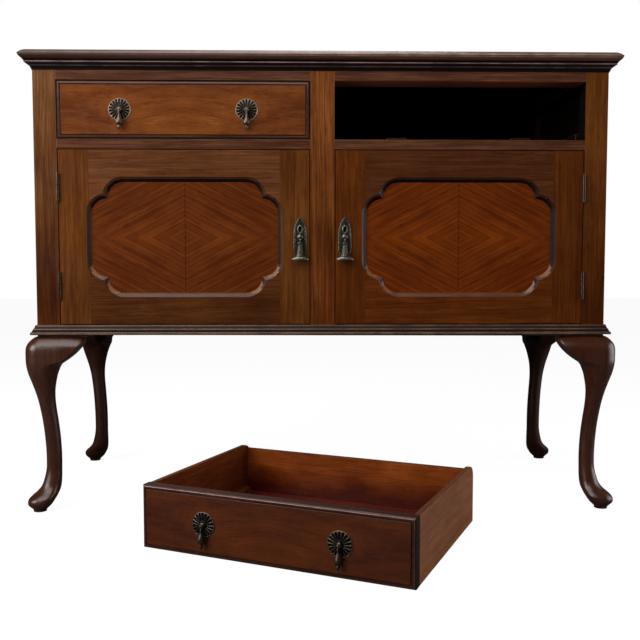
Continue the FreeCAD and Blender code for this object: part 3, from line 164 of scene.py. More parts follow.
def timber_figure():
    """Grain that runs along X: growth bands, fine streaks, open pores, mottle and cloudy tone."""
    bench, given, way_out = group("Timber figure", {
        "Vector": ["Place"], "Color": ["Body"],
        "Float": ["Band width", "Band contrast", "Streaks", "Clouds", "Waviness", "Stripes"]},
        {"Color": ["Color"], "Float": ["Height"]})
    place, body, stripes, clouds = (given(name) for name in ("Place", "Body", "Stripes", "Clouds"))
    drift = bench.noise(bench.stretch(place, (1.0, 3.0, 3.0)), 2.2, output="Color")
    wavy = bench.stretch(bench.stretch(drift, given("Waviness")), (0.05, 0.022, 0.022), place)
    narrow = bench.maths("DIVIDE", 1.0, given("Band width"))

    def grain(along, across, detail=2.0, roughness=0.5, scale=1.0):
        return bench.noise(bench.stretch(wavy, (along, across, across)), scale, detail, roughness)
    phase = bench.maths("ADD", bench.times(bench.times(bench.parts(wavy)["Z"], narrow), math.tau),
                        bench.times(grain(0.8, 60.0, 3.0, 0.6), 11.0))
    stripe = bench.times(bench.spread(bench.maths("SINE", phase), 0.2, 0.95),
                         bench.spread(grain(1.5, 42.0), 0.32, 0.62, 0.4, 1.0))
    band = bench.spread(grain(0.05, 1.0, 3.0, 0.62, narrow), 0.38, 0.64)
    band = bench.maths("ADD", bench.times(stripe, stripes), bench.times(band, bench.less(stripes)))
    streak = bench.spread(grain(4.5, 300.0, 4.0, 0.6), 0.40, 0.61)
    pore = bench.spread(grain(30.0, 640.0, 2.0, 0.6), 0.54, 0.70)
    mottle = bench.spread(grain(16.0, 60.0, 3.0, 0.55), 0.34, 0.66)
    cloud = bench.spread(bench.noise(place, 5.0, 4.0, 0.6), 0.32, 0.68)
    deep, dull, bright = (bench.blend(1.0, body, tint, "MULTIPLY") for tint in (
        (0.42, 0.33, 0.30, 1), (0.50, 0.42, 0.38, 1), (1.65, 1.95, 1.8, 1)))
    mixed = bench.blend(given("Streaks"), body, bench.blend(streak, dull, bright))
    mixed = bench.blend(bench.times(band, given("Band contrast")), mixed, deep)
    for share, tone in ((bench.times(bench.less(cloud), 0.55), bright), (cloud, deep),
                        (bench.times(mottle, 0.3), bright), (bench.times(bench.less(mottle), 0.22), deep)):
        mixed = bench.blend(bench.times(share, clouds), mixed, tone)
    mixed = bench.blend(bench.times(pore, 0.45), mixed, (0.008, 0.003, 0.0015, 1))
    bench.put(way_out, "Color", mixed)
    bench.put(way_out, "Height", bench.times(pore, -0.35))
    return bench.tree


def polish_wear_and_painted_light():
    """Old polish: rub marks on arrises and painted highlights, smudged gloss, small scratches, and matt
    grime and painted shade where faces are marked dark.
    """
    bench, given, way_out = group("Polish wear and painted light", {
        "Vector": ["Place"], "Color": ["Color", "Rubbed colour"],
        "Float": ["Arris", "Hollow", "Rubbing", "Smudges", "Base roughness", "Full polish"]},
        {"Color": ["Color"], "Float": ["Roughness", "Height", "Polish"]})
    place, hollow, rub_and_highlight_colour = (given(name) for name in ("Place", "Hollow", "Rubbed colour"))
    patches = bench.spread(bench.noise(place, 26.0, 4.0, 0.6), 0.34, 0.70, 0.25, 0.8)
    smudge = bench.spread(bench.noise(place, 11.0, 5.0, 0.62), 0.35, 0.72)
    scratch = bench.spread(bench.noise(bench.stretch(place, (50.0, 50.0, 1100.0)), 1.0, 1.0), 0.735, 0.77)
    # The Arris mark carries rub marks and painted highlight, the Hollow mark grime and painted shade.
    rubbed = bench.times(given("Arris"), bench.times(patches, given("Rubbing")), clamp=True)
    worn_and_painted = bench.blend(rubbed, given("Color"), rub_and_highlight_colour)
    worn_and_painted = bench.blend(bench.times(scratch, 0.12), worn_and_painted, rub_and_highlight_colour)
    worn_and_painted = bench.blend(hollow, worn_and_painted, (0.0025, 0.0012, 0.001, 1))
    rough = bench.times(smudge, bench.times(given("Smudges"), 0.12))
    for more in (bench.times(hollow, 0.5), given("Base roughness"), bench.times(rubbed, 0.15)):
        rough = bench.maths("ADD", rough, more, clamp=True)
    lost = bench.times(bench.maths("MAXIMUM", hollow, rubbed), 0.95)
    bench.put(way_out, "Color", worn_and_painted)
    bench.put(way_out, "Roughness", rough)
    bench.put(way_out, "Height", bench.times(bench.noise(place, 700.0), 0.3))
    bench.put(way_out, "Polish", bench.times(bench.less(lost), given("Full polish")))
    return bench.tree


FIGURE = timber_figure()
WEAR_AND_PAINTED_LIGHT = polish_wear_and_painted_light()
QUARTER = math.pi / 2


def along_grain(bench, along, turn, centre):
    """Place in the piece with X along the grain, which runs along one axis of a turned piece."""
    spin = Matrix.Rotation(-turn, 4, "Z")
    if along == "y":
        spin = Matrix.Rotation(-QUARTER, 4, "Z") @ spin
    if along == "z":
        spin = Matrix.Rotation(QUARTER, 4, "Y") @ spin
    return bench.moved(bench.here(), spin.to_euler(), -(spin @ Vector(centre)))


def timber(name, body, along="x", turn=0.0, centre=(0, 0, 0), band_width=0.02, contrast=0.5, streaks=0.5,
           clouds=0.3, waviness=1.0, rubbed=(150, 84, 44), rubbing=0.6, smudges=0.5, roughness=0.15,
           polish=0.5, stripes=0.0, shading_by_height=None, place_of=along_grain, joint=None):
    """Polished timber: figure, polish marks and painted light in one shader, its colour tinted below a
    height as painted shading, its joint dark.
    """
    material = bpy.data.materials.new(name)
    bench = blank(material)
    place = place_of(bench, along, turn, centre)
    figure = bench.add("ShaderNodeGroup", node_tree=FIGURE, Place=place, Body=srgb(*body),
                       Band_width=band_width, Band_contrast=contrast, Streaks=streaks, Clouds=clouds,
                       Waviness=waviness, Stripes=stripes)
    colour = bench.out(figure, "Color")
    # Painted shading: below a height the colour is multiplied by a tint, mostly darker towards the bottom
    # as painted shade.
    if shading_by_height:
        low, high, tint = shading_by_height
        half = (high - low) / 2
        ragged = bench.times(bench.noise(place, 9.0, 3.0), high - low)
        height = bench.maths("ADD", bench.parts(bench.here())["Z"], ragged)
        amount = bench.spread(height, low + half, high + half, 1.0, 0.0)
        colour = bench.blend(amount, colour, bench.blend(1.0, colour, tint, "MULTIPLY"))
    if joint:
        away = bench.maths("ABSOLUTE", bench.maths("SUBTRACT", bench.parts(bench.here())["X"], joint))
        colour = bench.blend(bench.spread(away, 0.0003, 0.0012, 0.6, 0.0), colour, (0.006, 0.002, 0.001, 1))
    wear_and_shading = bench.add("ShaderNodeGroup", node_tree=WEAR_AND_PAINTED_LIGHT, Place=place, Color=colour,
                     Arris=bench.mark("arris"), Hollow=bench.mark("hollow"), Rubbed_colour=srgb(*rubbed),
                     Rubbing=rubbing, Smudges=smudges, Base_roughness=roughness, Full_polish=polish)
    height = bench.maths("ADD", bench.out(figure, "Height"), bench.out(wear_and_shading, "Height"))
    bump = bench.add("ShaderNodeBump", Strength=0.18, Distance=0.0003, Height=height)
    shader = bench.add("ShaderNodeBsdfPrincipled", Base_Color=bench.out(wear_and_shading, "Color"),
                       Roughness=bench.out(wear_and_shading, "Roughness"), Normal=bump, IOR=1.5,
                       Specular_IOR_Level=bench.out(wear_and_shading, "Polish"))
    bench.add("ShaderNodeOutputMaterial", Surface=shader)
    return material


def marks(work):
    """The two marks on a mesh's faces: how light from rub marks and painted highlight, and how dark from
    grime and painted shade, from 0 to 1.
    """
    layers = work.faces.layers.float
    return [layers.get(mark) or layers.new(mark) for mark in ("arris", "hollow")]


def finished(work, node, body, slot, *materials, sharp=32, done="polished"):
    """A closed mesh as a piece of the scene: merged, smoothed, given its finish, its body and its node."""
    bmesh.ops.remove_doubles(work, verts=work.verts, dist=1e-6)
    bmesh.ops.recalc_face_normals(work, faces=work.faces)
    for face in work.faces:
        face.smooth = True
    mesh = bpy.data.meshes.new(f"{node}_{done}")
    work.to_mesh(mesh)
    work.free()
    for material in materials:
        mesh.materials.append(material)
    mesh.set_sharp_from_angle(angle=math.radians(sharp))
    piece = bpy.data.objects.new(mesh.name, mesh)
    bpy.context.scene.collection.objects.link(piece)
    flats = piece.modifiers.new("flats stay flat", "WEIGHTED_NORMAL")
    flats.mode, flats.weight, flats.keep_sharp = "FACE_AREA", 90, True
    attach(piece, body)
    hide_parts(node)


def bare_copy(node):
    """The CAD piece's shape alone, its loose triangles merged."""
    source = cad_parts[node].data
    bare = bpy.data.meshes.new(f"{node}_bare")
    bare.from_pydata([vertex.co for vertex in source.vertices], [],
                     [face.vertices[:] for face in source.polygons])
    work = bmesh.new()
    work.from_mesh(bare)
    bpy.data.meshes.remove(bare)
    bmesh.ops.remove_doubles(work, verts=work.verts, dist=1e-5)
    return work


def softened(node, body, slot, *materials, arris=0.0008, which=None, wear_and_shading=None, shaped=None):
    """The CAD piece with its arrises eased and marked as rub marks, with painted light and shade set face
    by face where asked, its faces sorted into its finishes.
    """
    work = bare_copy(node)
    if shaped:
        shaped(work)
    rubbed, dark = marks(work)
    if arris:
        bmesh.ops.dissolve_limit(work, angle_limit=math.radians(0.6), verts=work.verts, edges=work.edges)
        sharp = [edge for edge in work.edges
                 if edge.is_manifold and edge.calc_face_angle(0) > math.radians(40)]
        made = bmesh.ops.bevel(work, geom=sharp, offset=arris, offset_type="OFFSET", segments=2,
                               profile=0.6, affect="EDGES", clamp_overlap=True)
        for face in made["faces"]:
            face[rubbed] = 1.0
    work.normal_update()
    for face in work.faces:
        if wear_and_shading:
            face[rubbed], face[dark] = wear_and_shading(face.calc_center_median(), face.normal)
        if which:
            face.material_index = which(face.calc_center_median(), face.normal)
    finished(work, node, body, slot, *materials)


PANEL_FACE, TOP_RAIL_TOP = 0.57, 0.909


def faces_in(centre, normal):
    """Second finish, painted near black as shade, where the frame looks into the case, not forwards, down
    or out of its ends.
    """
    sideways = abs(normal.y) < 0.5 and abs(centre.x) < PANEL_FACE and abs(normal.z) < 0.5
    return int(normal.y > 0.5 or sideways or (normal.z > 0.5 and centre.z < TOP_RAIL_TOP))


def rail_faces(centre, normal):
    """The underside of a rail is painted paler, as painted light where it lies in shade."""
    return 2 if normal.z < -0.5 else faces_in(centre, normal)


def post_faces(centre, normal):
    """The right-hand post gets a darker, redder copy of the post timber as painted shade, since less light
    reaches that side.
    """
    return faces_in(centre, normal) or (2 if centre.x > 0 else 0)


# Painted shade: faces inside the case get a near-black, almost unpolished timber.
painted_shade_timber = timber("inside timber painted dark as shade", (12, 8, 5), along="y", roughness=0.6, streaks=0.2, polish=0.06)
post_timber = timber("post timber", (104, 63, 33), along="z", band_width=0.009, contrast=0.7, streaks=0.75,
                     clouds=0.45, shading_by_height=(0.46, 0.88, (0.52, 0.35, 0.22, 1)))
# Painted shade: the right-hand post's timber is darker than the left's.
shaded_right_post_timber = timber("right post timber painted as shade", (104, 56, 20), along="z", centre=(0.4, 0, 0),
                           band_width=0.009, contrast=0.6, streaks=0.6, clouds=0.45,
                           shading_by_height=(0.44, 0.86, (0.5, 0.38, 0.26, 1)))
centre_timber = timber("centre post timber", (116, 64, 28), along="z", band_width=0.011, contrast=0.7,
                       streaks=0.75, clouds=0.4, shading_by_height=(0.50, 0.86, (0.64, 0.52, 0.46, 1)))
rail_timber = timber("rail timber", (86, 50, 34), band_width=0.009, contrast=0.7, streaks=0.7)
# Painted light: rail undersides get a pale, matt timber.
lit_underside_timber = timber("rail underside timber painted pale as light", (150, 78, 58), roughness=0.5, polish=0.1)
end_timber = timber("end panel timber", (84, 44, 22), along="z")
SLIGHT = 0.0004
softened("front_posts", "carcass", "case_wood", post_timber, painted_shade_timber, shaded_right_post_timber, arris=SLIGHT,
         which=post_faces)
softened("centre_post", "carcass", "case_wood", centre_timber, painted_shade_timber, arris=SLIGHT, which=faces_in)
for node in ("rear_posts", "end_panels"):
    softened(node, "carcass", "case_wood", end_timber, painted_shade_timber, which=faces_in)
for node in ("top_rails", "drawer_rails"):
    softened(node, "carcass", "case_wood", rail_timber, painted_shade_timber, lit_underside_timber, arris=SLIGHT,
             which=rail_faces)

# INSIDE OF THE CARCASS
# Partition, dust boards, runners, guides, kickers, stops and bottom board: plain
# softwood and thin mahogany, left from the plane. All but the bottom board are
# painted near black, as the shade inside the case.

inside_timber = timber("inside timber", (50, 28, 18), along="y", roughness=0.6)
for node in ("partition", "dust_boards", "drawer_runners", "drawer_guides", "drawer_kickers",
             "drawer_stops"):
    softened(node, "carcass", "inside_wood", painted_shade_timber)
softened("bottom_board", "carcass", "inside_wood", inside_timber)


def cut(work, place, across, dist=1e-5, **clear):
    """Cut a mesh through by a plane, and close it again where one side of the plane is cleared."""
    everything = work.verts[:] + work.edges[:] + work.faces[:]
    bmesh.ops.bisect_plane(work, geom=everything, plane_co=place, plane_no=across, dist=dist, **clear)
    if clear:
        bmesh.ops.holes_fill(work, edges=[edge for edge in work.edges if edge.is_boundary], sides=0)


EASING_ENDS, EASING_BACK, EASING = (-0.484, -0.466, 0.466, 0.484), 0.03, 0.0034
EASED_HALF, EASED_FRONT, EASED_UNDER = 0.47, -0.018, 0.360


def eased_under(work):
    """Plane the front rail of the stand thinner underneath, between the knees."""
    for across in EASING_ENDS:
        cut(work, (across, 0, 0), (1, 0, 0))
    cut(work, (0, EASING_BACK, 0), (0, 1, 0))
    for vertex in work.verts:
        if abs(vertex.co.x) < EASED_HALF and vertex.co.y < EASED_FRONT and vertex.co.z < EASED_UNDER:
            vertex.co.z += EASING


softened("stand_frame", "carcass", "inside_wood", inside_timber, shaped=eased_under)


def facing_back(centre, normal):
    """Second finish, painted near black as shade, where the back looks into the case."""
    return int(normal.y < 0.5)


back_timber = timber("back timber", (104, 72, 46), along="z", band_width=0.03, roughness=0.55)
softened("back_panel", "carcass", "back_wood", back_timber, painted_shade_timber, which=facing_back)

# TOP AND MOULDINGS
# Solid top with a moulded edge on the front and ends, the cornice planted under
# it and the base moulding round the bottom board, all mitred at the corners.

HALF_WIDTH, FRONT, BACK = 0.580, -0.019, 0.431
TOP_LOW, CORNICE_LOW, BASE_LOW = 0.910, 0.894, 0.363
TOP_CUTS, TOP_CUT_STEP, FIRST_TOP_CUT = 10, 0.06, -0.57
# Out from the case and up from the lower edge of each moulding, in mm
TOP_EDGE = ((13.6, 0), (14.3, 1.2), (15.6, 2.6), (17.4, 4.2), (19.6, 6.2), (21.2, 8.4), (22.1, 10.6),
            (22.3, 12.0), (22.1, 13.0), (21.3, 13.8), (20.0, 14.4), (19.7, 15.2), (18.0, 16.8),
            (15.0, 18.9), (12.4, 20.4), (11.0, 21.0))
CORNICE = ((0, 0), (1.3, 0), (1.4, 2.2), (2.3, 2.6), (2.8, 4.6), (4.2, 6.8), (6.2, 8.8), (8.6, 10.4),
           (10.2, 11.3), (10.4, 12.0), (11.6, 12.1), (12.5, 12.6), (12.9, 13.5), (12.6, 14.6), (11.9, 15.2),
           (11.8, 16), (0, 16))
BASE_EDGE = ((0, 0), (10.9, 0), (11.6, 0.8), (11.6, 3.8), (11.3, 4.9), (10.5, 5.7), (9.4, 6.1), (9.2, 7.0),
             (8.0, 8.4), (7.4, 10.2), (7.2, 11.6), (6.6, 12.3), (5.6, 12.7), (5.3, 13.6), (4.5, 15.0),
             (4.0, 16.8), (3.8, 18.6), (3.2, 19.6), (2.2, 20.0), (0, 20.0))


def joined(work, rings, looped=False):
    """New faces from ring to ring of points, with both ends closed or the last ring joined to the first."""
    rows = [[work.verts.new(spot) for spot in ring] for ring in rings]
    made = []
    for low, high in zip(rows, rows[1:] + rows[:1] * looped):
        for number, spot in enumerate(low):
            after = (number + 1) % len(low)
            made.append(work.faces.new((spot, low[after], high[after], high[number])))
    return made if looped else made + [work.faces.new(rows[0]), work.faces.new(rows[-1])]


def lofted(rings):
    """Closed mesh through rings of points."""
    work = bmesh.new()
    joined(work, rings)
    work.normal_update()
    return work


def edge_spot(across, back, low_z, out, rise):
    """Point of a moulded edge at a corner of the case, left or right as across is -1 or 1."""
    return (across * (HALF_WIDTH + out / 1000), BACK if back else FRONT - out / 1000, low_z + rise / 1000)


def marked(work, low_z, bright, dark):
    """Mark the runs of a moulding, by height in mm, that are painted light, as highlight and rub marks, and
    that are painted dark, as shade and grime.
    """
    runs = list(zip(marks(work), (bright, dark)))
    for face in work.faces:
        rise = (face.calc_center_median().z - low_z) * 1000
        for mark, heights in runs:
            for low, high, amount in heights:
                if low < rise < high and abs(face.normal.z) < 0.99:
                    face[mark] = amount


def planted(node, profile, low_z, material, bright, dark):
    """Moulding run round the front and both ends, its back faces against the case."""
    work = lofted([[edge_spot(across, back, low_z, out, rise) for out, rise in profile]
                   for across, back in ((-1, True), (-1, False), (1, False), (1, True))])
    marked(work, low_z, bright, dark)
    finished(work, node, "carcass", "moulding_wood", material, sharp=40)


# Painted highlight and sheen: the rub colours of the top and mouldings are pale greyish pinks laid on their
# bright runs; the top's lowest band is tinted darker as painted shade.
top_timber = timber("top timber", (86, 54, 40), band_width=0.016, roughness=0.2, rubbed=(144, 124, 114),
                    rubbing=1.5, shading_by_height=(0.908, 0.917, (0.6, 0.40, 0.30, 1)))
moulding_timber = timber("moulding timber", (42, 24, 18), band_width=0.012, roughness=0.2,
                         rubbed=(134, 108, 104), rubbing=1.3)
base_timber = timber("base moulding timber", (58, 34, 22), band_width=0.012, roughness=0.25,
                     rubbed=(112, 86, 70), rubbing=1.2)
corners = ((-1, False), (1, False), (1, True), (-1, True))
work = lofted([[edge_spot(across, back, TOP_LOW, out, rise) for across, back in corners]
               for out, rise in TOP_EDGE])
# The top is cut across so that its marks can change from piece to piece
for number in range(TOP_CUTS):
    cut(work, (number * TOP_CUT_STEP + FIRST_TOP_CUT, 0, 0), (1, 0, 0))
work.normal_update()
# Painted highlight and sheen on the top's arrises and upper round, painted shade on its under curve.
marked(work, TOP_LOW, ((8.6, 10.5, 0.5), (12.2, 15.1, 1.0), (15.3, 21.1, 0.25)),
       ((-0.1, 2.7, 0.95), (2.7, 5.0, 0.5)))
rubbed, hollow = marks(work)
# Towards the left end the painted highlights fade and the edge's faces are darkened.
for face in work.faces:
    dulled = max(0.0, -face.calc_center_median().x)
    face[rubbed] *= 1.0 - dulled
    if abs(face.normal.z) < 0.99:
        face[hollow] = max(face[hollow], 0.9 * dulled)
finished(work, "top_board", "carcass", "top_wood", top_timber, sharp=40)
# Painted highlights along the beads and arrises of the cornice and base, painted shade in their coves and
# quirks.
planted("cornice_moulding", CORNICE, CORNICE_LOW, moulding_timber,
        ((6.7, 8.9, 0.35), (12.5, 15.3, 0.8)), ((-0.1, 6.7, 0.9), (8.9, 12.2, 0.6)))
planted("base_moulding", BASE_EDGE, BASE_LOW, base_timber,
        ((2.0, 5.8, 0.8), (10.5, 12.6, 0.7), (16.0, 20.1, 0.6)),
        ((-0.1, 1.0, 0.6), (5.9, 9.4, 0.85), (12.6, 16.0, 0.7)))

# LEGS
# Four cabriole legs sawn and carved from solid mahogany, with pad feet, and the
# knee wings glued on beside them and worked flush with the knees.

# Height, outer face, inner face and corner round, in mm from the carcass corner
LEG_LEVELS = (
    (359, 4.0, 47.5, 12), (357, 8.5, 47.5, 15), (354, 12.6, 47.5, 19), (350, 16.8, 47.5, 22),
    (344, 21.3, 47.5, 25), (337, 24.0, 47.5, 27), (328, 24.9, 47.5, 28), (318, 24.9, 47.5, 28),
    (308, 24.8, 46.4, 28), (300, 24.2, 42.6, 28), (290, 22.4, 38.9, 27), (280, 19.8, 35.7, 25),
    (270, 16.3, 33.4, 22), (260, 13.0, 31.5, 20), (247.7, 9.3, 30.0, 18), (228, 4.4, 29.6, 16),
    (208, 0.9, 30.9, 15), (188, -1.9, 33.0, 14.6), (168.7, -4.0, 34.8, 14.4), (145, -5.8, 36.6, 14.4),
    (122, -6.9, 37.6, 14.4), (100, -7.2, 37.9, 14.4), (84.4, -6.8, 37.7, 14.5), (70, -4.6, 37.6, 15),
    (61, -2.3, 37.4, 15.8), (52, 0.4, 37.0, 17), (44.9, 4.4, 36.2, 18.5), (38, 10.4, 34.6, 20),
    (32.3, 17.2, 32.4, 21.2), (26, 23.0, 29.6, 22.0), (20, 24.9, 26.2, 22.2), (14, 24.2, 22.6, 21.6),
    (9.6, 20.6, 18.4, 18.6), (6, 16.6, 14.2, 14.8), (4, 15.0, 12.2, 13.2))
# Depth below the head and reach of a wing beyond the leg, in mm
WING_LEVELS = ((0, 46.0), (4, 46.4), (8, 46.0), (12, 44.6), (18.8, 40.0), (28.5, 32.4), (39.8, 20.4),
               (46, 12.6), (52, 5.6), (57, 1.6), (62, 0.2), (66, 0.0), (400, 0.0))
LEG_JOINT, JOINT_GAP, LEG_HEAD, SOLE_SHARE, SOLE_LEVEL = 47.3, 0.2, 359.0, 0.96, 3.4
# The reach at which a wing has its full form, its rounds outside and inside, its thickness, and how
# far it bends in over a length beyond the joint, in mm
WING_STARTS, WING_ROUND, WING_INNER_ROUND, WING_THICKNESS, WING_BEND, WING_LENGTH = 9, 4.5, 7, 22, 6.0, 46


def on_curve(rows, level, column):
    """Value in a column of a table, on a smooth curve through its rows, which go one way."""
    rows = rows if rows[0][0] < rows[-1][0] else rows[::-1]
    spot = max(0, min(len(rows) - 2, sum(row[0] <= level for row in rows) - 1))
    low, high = rows[spot], rows[spot + 1]

    def slope(first, second):
        return (second[column] - first[column]) / (second[0] - first[0])
    here = slope(low, high)
    before = slope(rows[spot - 1], low) if spot else here
    after = slope(high, rows[spot + 2]) if spot + 2 < len(rows) else here
    start, end = (before + here) / 2, (here + after) / 2
    span = high[0] - low[0]
    share = (level - low[0]) / span
    rest = 1 - share
    return (low[column] * (1 + 2 * share) * rest ** 2 + start * span * share * rest ** 2
            + high[column] * share ** 2 * (1 + 2 * rest) - end * span * share ** 2 * rest)


def corner_round(across, deep, radius, start, count):
    """Points of a quarter round about a centre, clockwise from an angle in degrees."""
    turns = [math.radians(start - 90 * step / (count - 1)) for step in range(count)]
    return [[across + radius * math.cos(turn), deep + radius * math.sin(turn)] for turn in turns]


def leg_ring(level, wing_sizes):
    """Section of a leg with its two wings at one level, in mm from the carcass corner."""
    outer, inner, curve = (on_curve(LEG_LEVELS, max(level, 4), column) for column in (1, 2, 3))
    depth, middle = LEG_HEAD - level, (inner - outer) / 2
    reaches = [max(0.0, on_curve(WING_LEVELS, min(depth / fall, 399), 1)) * reach
               for reach, fall in wing_sizes]
    shares = [min(1.0, reach / WING_STARTS) for reach in reaches]
    ends = [inner + reach for reach in reaches]
    rounds = [curve + (WING_ROUND - curve) * share for share in shares]
    backs = [middle + (WING_THICKNESS - middle) * share for share in shares]
    within = curve + (WING_INNER_ROUND - curve) * max(shares)

    def steps(low, high):
        return [low + (high - low) * step / 9 for step in range(1, 9)]

    def swept(spots, axis):
        for spot in spots:
            spot[1 - axis] += WING_BEND * (max(0.0, spot[axis] - LEG_JOINT) / WING_LENGTH) ** 2
        return spots
    front = corner_round(ends[0] - rounds[0], rounds[0] - outer, rounds[0], 0, 8)
    front += [[along, -outer] for along in steps(ends[0] - rounds[0], curve - outer)]
    side = [[-outer, deep] for deep in steps(curve - outer, ends[1] - rounds[1])]
    side += corner_round(rounds[1] - outer, ends[1] - rounds[1], rounds[1], 180, 8)
    knee = corner_round(curve - outer, curve - outer, curve, 270, 12)
    spots = swept(front, 0) + knee + swept(side, 1)
    spots += [[backs[1], ends[1]], [backs[1], inner + 0.2]]
    spots += corner_round(inner - within, inner - within, within, 90, 9)
    spots += [[inner + 0.2, backs[0]], [ends[0], backs[0]]]
    return [(across, deep, level) for across, deep in spots]


def levels_down():
    """Levels of a leg's sections: close together at the knee and the foot."""
    level, levels = LEG_HEAD, []
    while level > 4:
        levels.append(level)
        level -= 1.2 if level > 345 else 2.2 if level > 285 else 6 if level > 66 else 2.5
    return levels + [4.0]


def kept_side(work, axis, place, keep_low):
    """Cut a closed mesh by a plane across X or Y and close it again."""
    across = Vector((1 - axis, axis, 0))
    cut(work, across * place, across, 1e-4, clear_outer=keep_low, clear_inner=not keep_low)


def to_case_corner(work, side, end):
    """From mm about one corner, inwards, to metres on the carcass."""
    sign = -1 if side == "left" else 1
    for vertex in work.verts:
        across, deep, level = vertex.co / 1000
        vertex.co = (sign * (HALF_WIDTH - across), FRONT + deep if end == "front" else BACK - deep, level)


# For the wings across and along the case: their reach, and how far they come down, as shares
WING_SIZES = {"front": ((1.0, 1.0), (1.0, 1.0)), "rear": ((0.42, 0.66), (1.0, 1.0))}
# The rear legs and wings get a darker, duller copy of the leg timber as painted shade, since they stand
# back in shadow.
LEG_TONES_AND_SHADE = {"front": ((62, 28, 12), 0.27, 0.5), "rear": ((46, 20, 9), 0.45, 0.14)}
leg_timbers = {end: timber(f"{end} leg timber", body, along="z", band_width=0.012, roughness=roughness,
                           smudges=0.9, contrast=0.4, rubbed=(120, 78, 60), polish=polish)
               for end, (body, roughness, polish) in LEG_TONES_AND_SHADE.items()}
wings = bmesh.new()
for end, side in (("front", "left"), ("front", "right"), ("rear", "left"), ("rear", "right")):
    rings = [leg_ring(level, WING_SIZES[end]) for level in levels_down()]
    rings.append([(x * SOLE_SHARE, y * SOLE_SHARE, SOLE_LEVEL) for x, y, level in rings[-1]])
    rings.append([(x, y, 0.0) for x, y, level in rings[-1]])
    leg = lofted(rings)
    for axis in (0, 1):
        kept_side(leg, axis, LEG_JOINT, True)
    to_case_corner(leg, side, end)
    finished(leg, f"{end}_{side}_leg", "carcass", "leg_wood", leg_timbers[end])
    for axis in (0, 1):
        wing = lofted(rings)
        kept_side(wing, axis, LEG_JOINT + JOINT_GAP, False)
        to_case_corner(wing, side, end)
        bmesh.ops.recalc_face_normals(wing, faces=wing.faces)
        for face in wing.faces:
            face.material_index = int(end == "rear")
        held = bpy.data.meshes.new("wing")
        wing.to_mesh(held)
        wings.from_mesh(held)
        bpy.data.meshes.remove(held)
        wing.free()
finished(wings, "knee_wings", "carcass", "leg_wood", *leg_timbers.values())

# DOORS
# Framed doors with a shaped recess: stiles, rails and a quarter-matched panel
# whose striped veneer meets in the middle as nested diamonds.

# Where the runs of the recess's shaped edge end, from the door's face inwards
LIP, HOLLOW, STEP = -0.0179, -0.0165, -0.0130


def recess_painted_light(centre, normal):
    """How light and how dark a recess's shaped edge is painted: its lower runs, facing up, get painted
    highlight, and the runs facing down and sideways get painted shade.
    """
    if not -0.97 < normal.y < -0.2:
        return 0.0, 0.0
    if normal.z < -0.25:
        return 0.0, 0.92 if centre.y > HOLLOW or normal.x < -0.2 else 0.5 if centre.y > LIP else 0.75
    if normal.z < 0.2:
        grime = (0.82, 0.70) if normal.x < 0 else (0.65, 0.35)
        return 0.0, grime[0] if centre.y > HOLLOW else grime[1]
    if centre.y < LIP or centre.y > STEP:
        return (0.0, 0.6) if centre.y < LIP else (0.3, 0.4)
    return (1.0, 0.0) if abs(normal.x) > 0.2 else (0.7, 0.42)


# Pale rub colour for the doors, laid as painted highlight on the recess's lower runs.
WIPED_AND_HIGHLIT = {"rubbed": (130, 84, 56), "rubbing": 1.3}
# Per door: stile tone, rail tone, and the tint laid low on rails and spandrels as painted shading, darker
# on the left door and redder on the right.
DOOR_TONES = {"left": ((94, 50, 18), (96, 54, 30), (0.65, 0.58, 0.41, 1)),
              "right": ((84, 38, 9), (77, 39, 19), (1.5, 1.2, 0.6, 1))}
for side, (stile_tone, rail_tone, low_shading_tint) in DOOR_TONES.items():
    rail_shading = (0.46, 0.62, low_shading_tint)
    door_timbers = {
        "door_stiles": timber(f"{side} stile timber", stile_tone, along="z", centre=(0.3, 0.1, 0),
                              band_width=0.010, clouds=0.4, **WIPED_AND_HIGHLIT),
        "door_rails": timber(f"{side} door rail timber", rail_tone, band_width=0.011, contrast=0.55,
                             clouds=0.4, shading_by_height=rail_shading, **WIPED_AND_HIGHLIT),
        "panel_moulding": timber(f"{side} spandrel timber", rail_tone, centre=(0, 0, 0.37),
                                 band_width=0.014, contrast=0.4, shading_by_height=rail_shading, **WIPED_AND_HIGHLIT)}
    for node, door_timber in door_timbers.items():
        softened(f"{side}_{node}", f"{side}_door", "front_wood", door_timber, arris=0.0, wear_and_shading=recess_painted_light)


def mirrored(bench, place, tilt, up_too=False):
    """Place folded about the middle of a sheet, across and perhaps up too, its grain then tilted."""
    across, deep, up = bench.parts(place)
    leaf = bench.add("ShaderNodeCombineXYZ", X=bench.maths("ABSOLUTE", across), Y=deep,
                     Z=bench.maths("ABSOLUTE", up) if up_too else up)
    return bench.moved(leaf, (0, tilt, 0))


def quarter_matched(bench, along, turn, centre):
    """Place in a sheet of four mirrored quarters, grain falling away from the middle."""
    return mirrored(bench, bench.moved(bench.here(), location=-Vector(centre)), -turn, up_too=True)


for side, tone in (("left", (95, 42, 12)), ("right", (105, 43, 7))):
    low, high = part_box(f"{side}_door_panel")
    middle = (low + high) / 2
    panel_veneer = timber(f"{side} panel veneer", tone, turn=math.radians(27), centre=middle,
                          band_width=0.0096, contrast=0.85, clouds=0.45, waviness=0.45, roughness=0.16,
                          stripes=0.8, place_of=quarter_matched, joint=middle.x)
    softened(f"{side}_door_panel", f"{side}_door", "panel_veneer", panel_veneer, arris=0.0)

# DRAWERS
# Two drawers: a solid front with a veneered field inside a thumbnail moulding,
# stained sides and back, a thin bottom in grooves and quarter-round slips.

LOOSE_TURN = math.radians(-24.6)
DRAWER_PLACES = {"left": Matrix.Translation((-0.53225, -0.019, 0.7583)),
                 "right": Matrix.Translation((-0.325, -0.247, 0.0)) @ Matrix.Rotation(LOOSE_TURN, 4, "Z")}
DRAWER_WIDTH, DRAWER_HEIGHT = 0.506, 0.114
